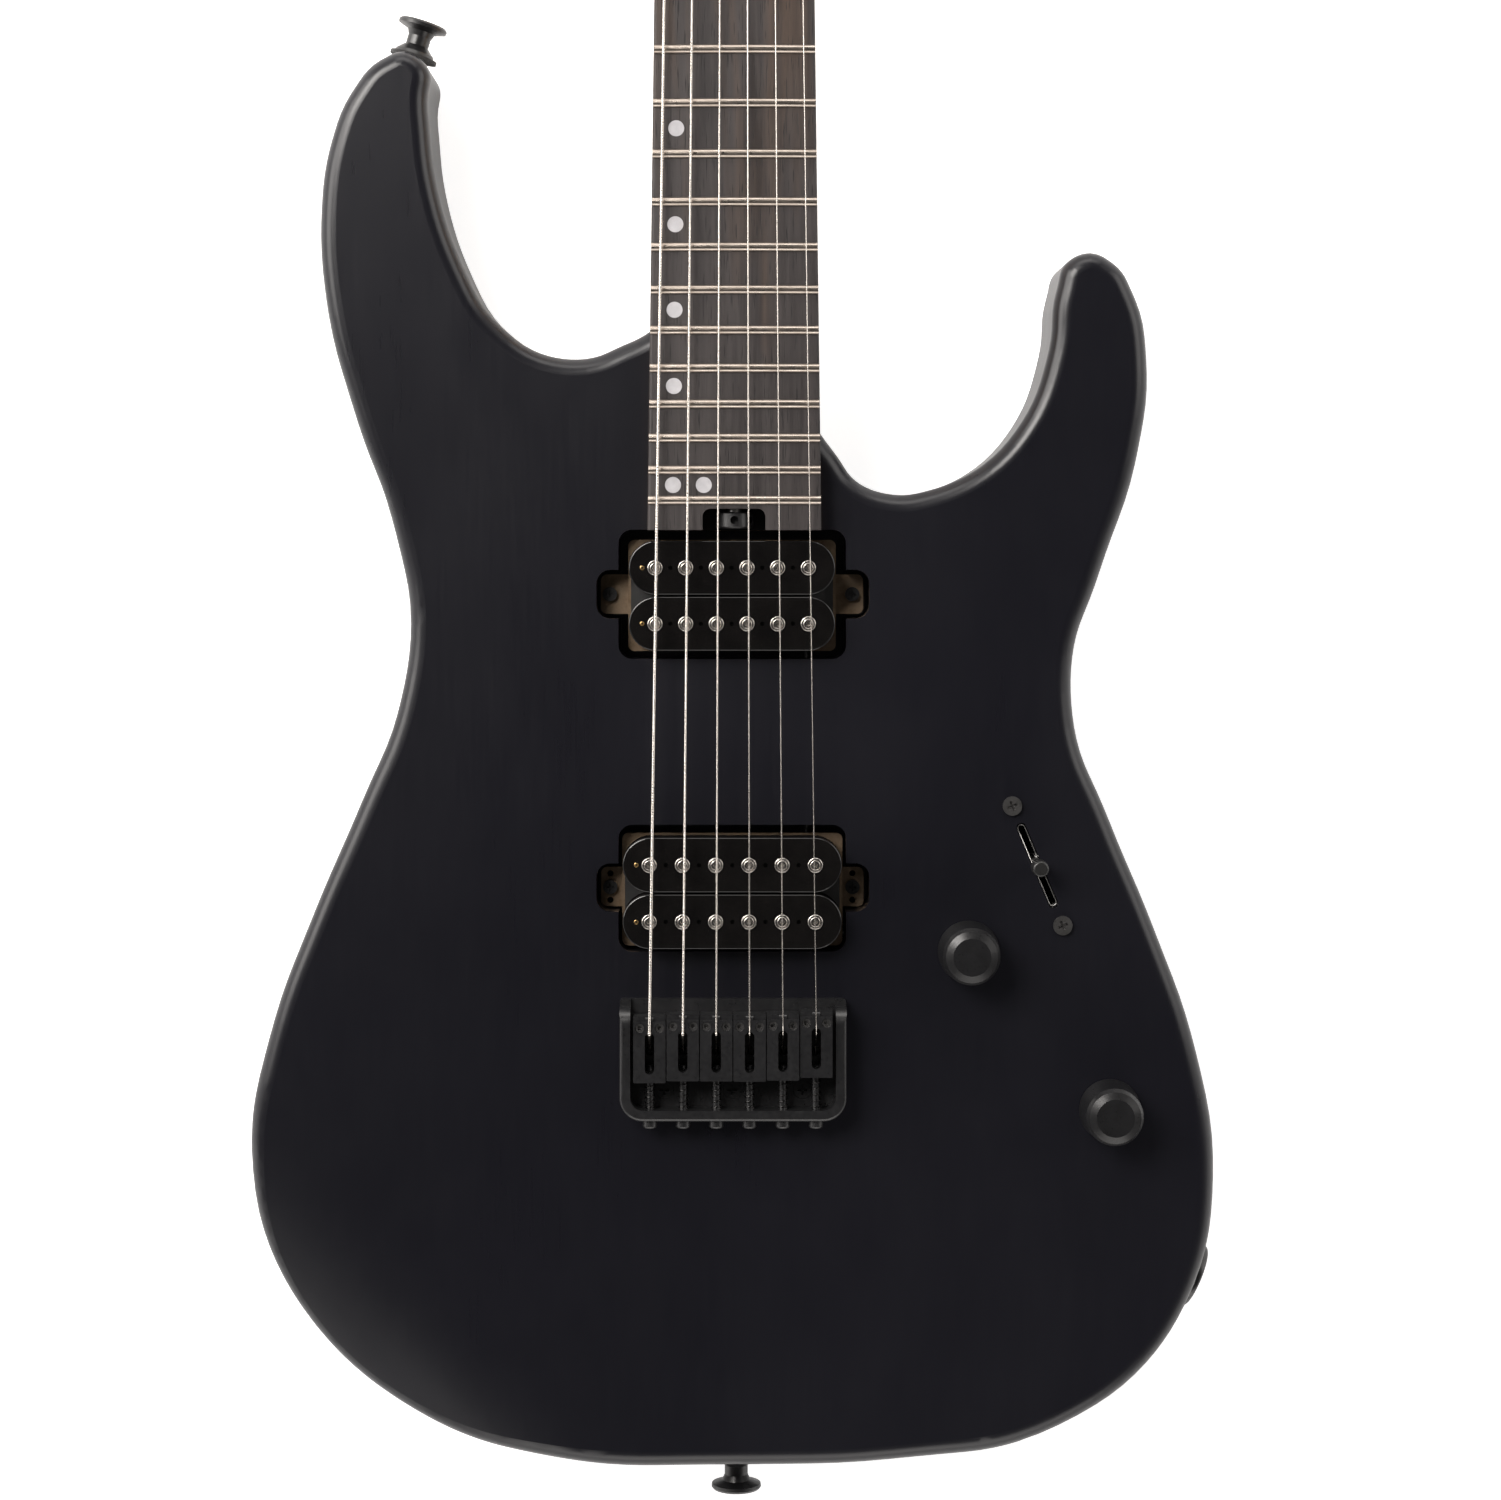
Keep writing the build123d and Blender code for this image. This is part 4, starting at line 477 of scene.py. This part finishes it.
def second_finish(name, key, chosen):
    """Gives another finish to the faces of a CAD node that are chosen by their centre."""
    mesh = nodes[name].data
    mesh.materials.append(FINISHES[key].material)
    index = len(mesh.materials) - 1
    for face in mesh.polygons:
        if chosen(face.center):
            face.material_index = index


# ---------------------------------------------------------------- mesh helpers
ARC_STEP = math.radians(12)
SMOOTH_UP_TO = math.radians(38)
MERGE_DISTANCE = 1e-7


def add_piece(name, mesh, key, body, replaced=()):
    """Puts a new mesh in the scene with its finish, riding on its body."""
    mesh.materials.append(FINISHES[key].material)
    obj = bpy.data.objects.new(name, mesh)
    bpy.context.scene.collection.objects.link(obj)
    if replaced:
        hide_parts(*replaced)
    if body:
        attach(obj, body)
    return obj


def rounded_path(points, radii, step):
    """Points along straight runs joined by arcs at the corners, at most a step apart."""
    points = [Vector(p) for p in points]
    runs = []
    here = points[0]
    for k in range(1, len(points) - 1):
        corner = points[k]
        back = (points[k - 1] - corner).normalized()
        on = (points[k + 1] - corner).normalized()
        turn = math.pi - back.angle(on)
        reach = radii[k - 1] * math.tan(turn / 2)
        start = corner + back * reach
        runs.append([here, start])
        centre = corner + (back + on).normalized() * (radii[k - 1] / math.cos(turn / 2))
        first = start - centre
        last = corner + on * reach - centre
        count = max(2, math.ceil(turn / ARC_STEP))
        arc = []
        for i in range(count + 1):
            share = i / count
            weights = (math.sin((1 - share) * turn), math.sin(share * turn))
            arc.append(centre + (first * weights[0] + last * weights[1]) / math.sin(turn))
        runs.append(arc)
        here = arc[-1]
    runs.append([here, points[-1]])
    line = []
    for run in runs:
        for a, b in zip(run[:-1], run[1:]):
            count = max(1, math.ceil((b - a).length / step))
            line += [a.lerp(b, i / count) for i in range(count)]
    return line + [points[-1]]


def swept(name, line, radius, sides, ridge=0.0, pitch=1.0):
    """A closed tube along a line. A ridge winds round it, like a wrapped string or a thread."""
    path = np.array([list(p) for p in line])
    ahead = np.gradient(path, axis=0)
    ahead /= np.linalg.norm(ahead, axis=1)[:, None]
    steps = np.linalg.norm(np.diff(path, axis=0), axis=1)
    lengths = np.concatenate([[0], np.cumsum(steps)])
    side = np.cross(ahead[0], [0.31, 0.17, 0.93])
    side /= np.linalg.norm(side)
    sides_along = []
    for direction in ahead:
        side = side - direction * (side @ direction)
        side /= np.linalg.norm(side)
        sides_along.append(side)
    u = np.array(sides_along)
    v = np.cross(ahead, u)
    turn = np.arange(sides) * 2 * math.pi / sides
    phase = lengths[:, None] * 2 * math.pi / pitch - turn[None, :]
    reach = radius - ridge * (0.5 - 0.5 * np.cos(phase))
    ring = path[:, None] + reach[..., None] * (
        np.cos(turn)[None, :, None] * u[:, None] + np.sin(turn)[None, :, None] * v[:, None]
    )
    count = len(path)
    verts = ring.reshape(-1, 3)
    k = np.arange(count - 1)[:, None] * sides
    s = np.arange(sides)[None, :]
    after = (s + 1) % sides
    quads = np.stack([k + s, k + after, k + sides + after, k + sides + s], axis=-1)
    quads = quads.reshape(-1, 4)
    caps = [list(range(sides))[::-1], [(count - 1) * sides + i for i in range(sides)]]
    mesh = bpy.data.meshes.new(name)
    mesh.from_pydata(verts.tolist(), [], quads.tolist() + caps)
    mesh.polygons.foreach_set("use_smooth", [True] * len(quads) + [False, False])
    return mesh


def turned(name, profiles, sides=32):
    """Closed shapes turned on a lathe, joined in one mesh.

    Each has its foot, its axis and an outline of (radius, height).
    """
    verts = []
    faces = []
    for foot, axis, outline in profiles:
        axis = Vector(axis).normalized()
        u = axis.orthogonal().normalized()
        v = axis.cross(u)
        base = len(verts)
        closed = outline[0][0] > 0
        for radius, height in outline:
            for k in range(sides):
                a = 2 * math.pi * k / sides
                out = u * math.cos(a) + v * math.sin(a)
                verts.append(Vector(foot) + axis * height + out * radius)
        count = len(outline)
        for i in range(count if closed else count - 1):
            lower = base + i * sides
            upper = base + (i + 1) % count * sides
            for k in range(sides):
                n = (k + 1) % sides
                faces.append([lower + k, lower + n, upper + n, upper + k])
    mesh = bpy.data.meshes.new(name)
    shape = bmesh.new()
    made = [shape.verts.new(p) for p in verts]
    for face in faces:
        shape.faces.new([made[i] for i in face])
    bmesh.ops.remove_doubles(shape, verts=shape.verts, dist=MERGE_DISTANCE)
    bmesh.ops.recalc_face_normals(shape, faces=shape.faces)
    shape.to_mesh(mesh)
    shape.free()
    mesh.polygons.foreach_set("use_smooth", [True] * len(mesh.polygons))
    mesh.set_sharp_from_angle(angle=SMOOTH_UP_TO)
    return mesh


COIL_STEPS = 18
CLOSED_TURNS = 0.75
CLOSED_RISE = 0.35


def coil_line(start, end, radius, turns):
    """A compression spring's line: close turns at the ends and open ones between."""
    start = Vector(start)
    run = Vector(end) - start
    axis = run.normalized()
    u = axis.orthogonal().normalized()
    v = axis.cross(u)
    closed = CLOSED_TURNS / turns
    low = closed * CLOSED_RISE
    steps = int(turns * COIL_STEPS)
    line = []
    for i in range(steps + 1):
        t = i / steps
        a = 2 * math.pi * turns * t
        if t < closed:
            share = t * CLOSED_RISE
        elif t > 1 - closed:
            share = 1 - (1 - t) * CLOSED_RISE
        else:
            share = low + (t - closed) / (1 - 2 * closed) * (1 - 2 * low)
        line.append(start + run * share + (u * math.cos(a) + v * math.sin(a)) * radius)
    return line


# ---------------------------------------------------------------- strings
STRING_RADII = [0.58 * MM, 0.46 * MM, 0.33 * MM, 0.22 * MM, 0.17 * MM, 0.13 * MM]
STRING_LIFT = 0.05 * MM
PLAIN_STEP = 4.0 * MM
BEND_RADIUS = 1.5 * MM

WRAP_PITCH = [0.50 * MM, 0.42 * MM, 0.36 * MM]
WRAP_DEPTH = 0.32  # share of the string's radius
WRAP_STEPS = 3

NUT_SPACING = 7.04 * MM
NUT_REST_Z = 55.55 * MM
BOARD_RADIUS = 400.0 * MM
RETAINER_STRING_Z = 51.6 * MM
POST_STRING_Z = 51.4 * MM

# where a string leaves its saddle and goes down through the body
BREAK_Y = -7.7 * MM
THROUGH_Y = -14.6 * MM
TAIL_FOOT_Z = 4.2 * MM
TAIL_TOP_Z = 48.0 * MM
TAIL_SPLIT = 0.6 * MM
TAIL_BENDS = [0.5 * MM, 1.6 * MM]
TAIL_STEP = 0.8 * MM


def saddle_middle(index):
    """The middle X and the top Z of a saddle."""
    low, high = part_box(f"saddle_{index + 1}")
    return (low.x + high.x) / 2, high.z


def post_middle(index):
    low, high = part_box(f"tuner_post_{index + 1}")
    return (low.x + high.x) / 2, (low.y + high.y) / 2


def make_strings():
    nut_end_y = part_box("nut")[1].y
    retainer_low, retainer_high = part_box("string_retainer")
    retainer_y = (retainer_low.y + retainer_high.y) / 2
    for i, radius in enumerate(STRING_RADII):
        x, crest = saddle_middle(i)
        post_x, post_y = post_middle(i)
        nut_x = NUT_SPACING * (i - (STRING_COUNT - 1) / 2)
        board_drop = nut_x * nut_x / (2 * BOARD_RADIUS)
        nut_z = NUT_REST_Z - board_drop + radius + STRING_LIFT
        saddle_z = crest + radius + STRING_LIFT
        corners = [
            (nut_x, post_y, POST_STRING_Z),
            (nut_x, retainer_y, RETAINER_STRING_Z),
            (nut_x, nut_end_y, nut_z),
            (x, BREAK_Y + TAIL_SPLIT, saddle_z),
        ]
        name = f"string_{i + 1}"
        bends = [BEND_RADIUS, BEND_RADIUS]
        if i < len(WRAP_PITCH):
            line = rounded_path(corners, bends, WRAP_PITCH[i] / WRAP_STEPS)
            mesh = swept(name, line, radius, 6, radius * WRAP_DEPTH, WRAP_PITCH[i])
        else:
            mesh = swept(name, rounded_path(corners, bends, PLAIN_STEP), radius, 10)
        string = add_piece(name, mesh, "string_steel", None, ["strings"])
        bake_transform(string)
        make_tail(i, radius, x, saddle_z)
        make_winding(i, radius, nut_x - post_x, post_x, post_y)


def make_tail(index, radius, x, saddle_z):
    """A string's lower end: over the back of its saddle and down through the body."""
    name = f"string_{index + 1}_tail"
    corners = [
        (x, BREAK_Y + TAIL_SPLIT, saddle_z),
        (x, BREAK_Y, saddle_z),
        (x, THROUGH_Y, TAIL_TOP_Z),
        (x, THROUGH_Y, TAIL_FOOT_Z),
    ]
    mesh = swept(name, rounded_path(corners, TAIL_BENDS, TAIL_STEP), radius, 10)
    tail = add_piece(name, mesh, "string_steel", None, ["strings"])
    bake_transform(tail)


WINDING_TOP_Z = 53.5 * MM
WINDING_PITCH = 2.06  # in string radii
WINDING_STEPS = 26
MOST_TURNS = 4
LAST_PART_TURN = 0.25
SLOT_Z = 54.9 * MM
SLOT_ENTRY_STEPS = 6
STRING_END_STEPS = 3
STRING_END_STEP = 0.4 * MM
STRING_END_DROP = 0.12 * MM


def make_winding(index, radius, reach, post_x, post_y):
    """The turns round the tuner post, and the end going in at the top of its slot."""
    rise = WINDING_PITCH * radius
    room = WINDING_TOP_Z - POST_STRING_Z - radius
    turns = int(min(MOST_TURNS, room / rise)) + LAST_PART_TURN
    steps = int(turns * WINDING_STEPS)
    line = []
    for k in range(steps + 1):
        a = 2 * math.pi * turns * k / steps
        z = POST_STRING_Z + rise * turns * k / steps
        line.append(Vector((post_x + reach * math.cos(a), post_y + reach * math.sin(a), z)))
    end_z = line[-1].z
    for k in range(1, SLOT_ENTRY_STEPS + 1):
        t = k / SLOT_ENTRY_STEPS
        z = end_z + (SLOT_Z - end_z) * math.sin(t * math.pi / 2)
        line.append(Vector((post_x, post_y + reach * (1 - t), z)))
    for k in range(1, STRING_END_STEPS + 1):
        z = SLOT_Z - STRING_END_DROP * k * k
        line.append(Vector((post_x, post_y - STRING_END_STEP * k, z)))
    name = f"string_{index + 1}_winding"
    mesh = swept(name, line, radius, 8)
    add_piece(name, mesh, "string_steel", f"tuner_post_{index + 1}", [])


# radius and height, in millimetres
BALL_END_OUTLINE = [
    (0.5, -1.6), (1.85, -1.6), (1.9, -1.2), (1.3, -0.7),
    (1.3, 0.7), (1.9, 1.2), (1.85, 1.6), (0.5, 1.6),
]
BALL_END_Z = 2.5 * MM


def make_ball_ends():
    """The brass spool at each string's lower end, seated in its ferrule."""
    outline = [(r * MM, z * MM) for r, z in BALL_END_OUTLINE]
    spools = []
    for i in range(STRING_COUNT):
        x = saddle_middle(i)[0]
        spools.append(((x, THROUGH_Y, BALL_END_Z), (1, 0, 0), outline))
    add_piece("string_ball_ends", turned("string_ball_ends", spools, 24), "brass", ROOT)


# ---------------------------------------------------------------- springs and small hardware
SPRING_WIRE = 0.2 * MM
SPRING_COIL = 1.44 * MM
SPRING_TURNS = 6.5
PICKUP_SPRING_WIRE = 0.3 * MM
PICKUP_SPRING_COIL = 2.3 * MM
PICKUP_SPRING_TURNS = 5.5
HEIGHT_SCREW_HEAD_RADIUS = 2.3 * MM
FOOT_SCREW_WIDTH = 4.0 * MM


def make_intonation_springs():
    low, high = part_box("intonation_springs")
    z = (low.z + high.z) / 2
    wall = low.y + SPRING_WIRE
    for i in range(STRING_COUNT):
        name = f"intonation_spring_{i + 1}"
        x = saddle_middle(i)[0]
        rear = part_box(f"saddle_{i + 1}")[0].y - SPRING_WIRE
        line = coil_line((x, wall, z), (x, rear, z), SPRING_COIL, SPRING_TURNS)
        mesh = swept(name, line, SPRING_WIRE, 8)
        spring = add_piece(name, mesh, "black_spring", None, ["intonation_springs"])
        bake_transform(spring)


def middle_of_feet(name):
    """The height screws' Y, from the outermost of the pickup's screws."""
    mesh = nodes[f"{name}_screws"].data
    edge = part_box(f"{name}_screws")[0].x + FOOT_SCREW_WIDTH
    ys = [v.co.y for v in mesh.vertices if v.co.x < edge]
    return (min(ys) + max(ys)) / 2


def make_pickup_springs():
    low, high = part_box("pickup_springs")
    for name in PICKUPS:
        screw_low, screw_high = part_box(f"{name}_screws")
        y = middle_of_feet(name)
        places = {
            "bass": screw_low.x + HEIGHT_SCREW_HEAD_RADIUS,
            "treble": screw_high.x - HEIGHT_SCREW_HEAD_RADIUS,
        }
        for side, x in places.items():
            start = (x, y, low.z + PICKUP_SPRING_WIRE)
            end = (x, y, high.z - PICKUP_SPRING_WIRE)
            label = f"{name}_spring_{side}"
            line = coil_line(start, end, PICKUP_SPRING_COIL, PICKUP_SPRING_TURNS)
            mesh = swept(label, line, PICKUP_SPRING_WIRE, 8)
            spring = add_piece(label, mesh, "steel", None, ["pickup_springs"])
            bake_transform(spring)


# radius and height, in millimetres
EYELET_OUTLINE = [
    (0.0, -0.3), (0.72, -0.3), (0.72, 0.04), (0.58, 0.1),
    (0.34, 0.1), (0.28, 0.0), (0.0, -0.02),
]
EYELET_REACH = 4.1 * MM
BOBBIN_WIDTH = 17.4 * MM
POLE_HEAD_RADIUS = 2.4 * MM
FEET_LENGTH = 7.0 * MM


def make_eyelets():
    """A small brass pin in each bobbin, beside the first pole."""
    outline = [(r * MM, z * MM) for r, z in EYELET_OUTLINE]
    for name in PICKUPS:
        low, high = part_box(f"{name}_bobbins")
        mesh = nodes[f"{name}_screws"].data
        feet_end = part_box(f"{name}_screws")[0].x + FEET_LENGTH
        poles_start = min(v.co.x for v in mesh.vertices if v.co.x > feet_end)
        x = poles_start + POLE_HEAD_RADIUS - EYELET_REACH
        rows = (low.y + BOBBIN_WIDTH / 2, high.y - BOBBIN_WIDTH / 2)
        pins = [((x, y, high.z), (0, 0, 1), outline) for y in rows]
        add_piece(f"{name}_eyelets", turned(f"{name}_eyelets", pins, 20), "brass", name)


GRUB_SPREAD = 3.2 * MM
GRUB_SETBACK = 3.6 * MM
GRUB_REACH = 1.455 * MM
NOTCH_LENGTH = 9.0 * MM
NOTCH_DEPTH = 4.0 * MM
HEIGHT_SCREW_REACH = 5.0 * MM


def dress_details():
    """Second finishes on CAD nodes that hold more than one kind of piece, and painted shade in
    the neck's truss-wheel notch.
    """
    for i in range(STRING_COUNT):
        x = saddle_middle(i)[0]
        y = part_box(f"saddle_{i + 1}")[1].y - GRUB_SETBACK

        def in_grub(c, x=x, y=y):
            return math.hypot(abs(c.x - x) - GRUB_SPREAD, c.y - y) < GRUB_REACH

        second_finish(f"saddle_{i + 1}", "grub_steel", in_grub)

    # painted shade: the neck's faces round the truss-wheel notch are made near-black, standing in
    # for the shade in the recess
    wheel_low, wheel_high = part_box("truss_wheel")
    notch_end = wheel_high.y + NOTCH_LENGTH
    notch_floor = wheel_low.z - NOTCH_DEPTH
    second_finish("neck", "notch_painted_shade", lambda c: c.y < notch_end and c.z > notch_floor)

    for name in PICKUPS:
        low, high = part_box(f"{name}_screws")
        bass_end = low.x + HEIGHT_SCREW_REACH
        treble_end = high.x - HEIGHT_SCREW_REACH
        second_finish(
            f"{name}_screws", "black_screw",
            lambda c, bass=bass_end, treble=treble_end: c.x < bass or c.x > treble,
        )


TAPE_THICKNESS = 0.25 * MM
TAPE_WIDTH = 15.0 * MM
TAPE_END_GAP = 0.3 * MM
TAPE_CORNER = 2.2 * MM


def make_base_tapes():
    """The black tape that shows between the rounded ends of each pair of bobbins."""
    for name in PICKUPS:
        low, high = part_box(f"{name}_bobbins")
        middle = (low + high) / 2
        length = high.x - low.x - 2 * TAPE_END_GAP
        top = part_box(f"{name}_coils")[0].z + TAPE_THICKNESS
        shape = bmesh.new()
        bmesh.ops.create_cube(shape, size=1.0)
        for v in shape.verts:
            v.co = Vector((
                middle.x + v.co.x * length,
                middle.y + v.co.y * TAPE_WIDTH,
                top + (v.co.z - 0.5) * TAPE_THICKNESS,
            ))
        upright = [
            e for e in shape.edges
            if abs(e.verts[0].co.z - e.verts[1].co.z) > TAPE_THICKNESS / 2
        ]
        bmesh.ops.bevel(
            shape, geom=upright, offset=TAPE_CORNER, offset_type="OFFSET", segments=6,
            profile=0.5, affect="EDGES",
        )
        mesh = bpy.data.meshes.new(f"{name}_tape")
        shape.to_mesh(mesh)
        shape.free()
        add_piece(f"{name}_tape", mesh, "coil_tape", name)


SLOT_RIM_WIRE = 0.24 * MM
SLOT_RIM_Z = 43.2 * MM
SLOT_ANGLE = math.radians(-67.1)
SLOT_HALF_LENGTH = 13.0 * MM
SLOT_HALF_WIDTH = 1.18 * MM
SLOT_END_STEPS = 8


def make_slot_rim():
    """The bright edge of the switch's metal frame, just inside the selector slot."""
    low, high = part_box("selector_tip")
    centre = Vector(((low.x + high.x) / 2, (low.y + high.y) / 2, SLOT_RIM_Z))
    along = Vector((math.cos(SLOT_ANGLE), math.sin(SLOT_ANGLE), 0))
    across = Vector((-math.sin(SLOT_ANGLE), math.cos(SLOT_ANGLE), 0))
    line = []
    for sign in (-1, 1):
        for k in range(SLOT_END_STEPS + 1):
            a = math.pi * k / SLOT_END_STEPS
            out = along * (SLOT_HALF_LENGTH + SLOT_HALF_WIDTH * math.sin(a))
            line.append(centre + (out + across * SLOT_HALF_WIDTH * math.cos(a)) * sign)
    line.append(line[0])
    mesh = swept("selector_slot_rim", line, SLOT_RIM_WIRE, 8)
    add_piece("selector_slot_rim", mesh, "steel", ROOT, [])


# ---------------------------------------------------------------- everything in order
make_camera()
make_floor()
make_world()
make_lights()
dress_cad_nodes()
dress_details()
make_strings()
make_ball_ends()
make_intonation_springs()
make_pickup_springs()
make_eyelets()
make_slot_rim()
make_base_tapes()
bpy.context.scene.view_settings.view_transform = "Standard"
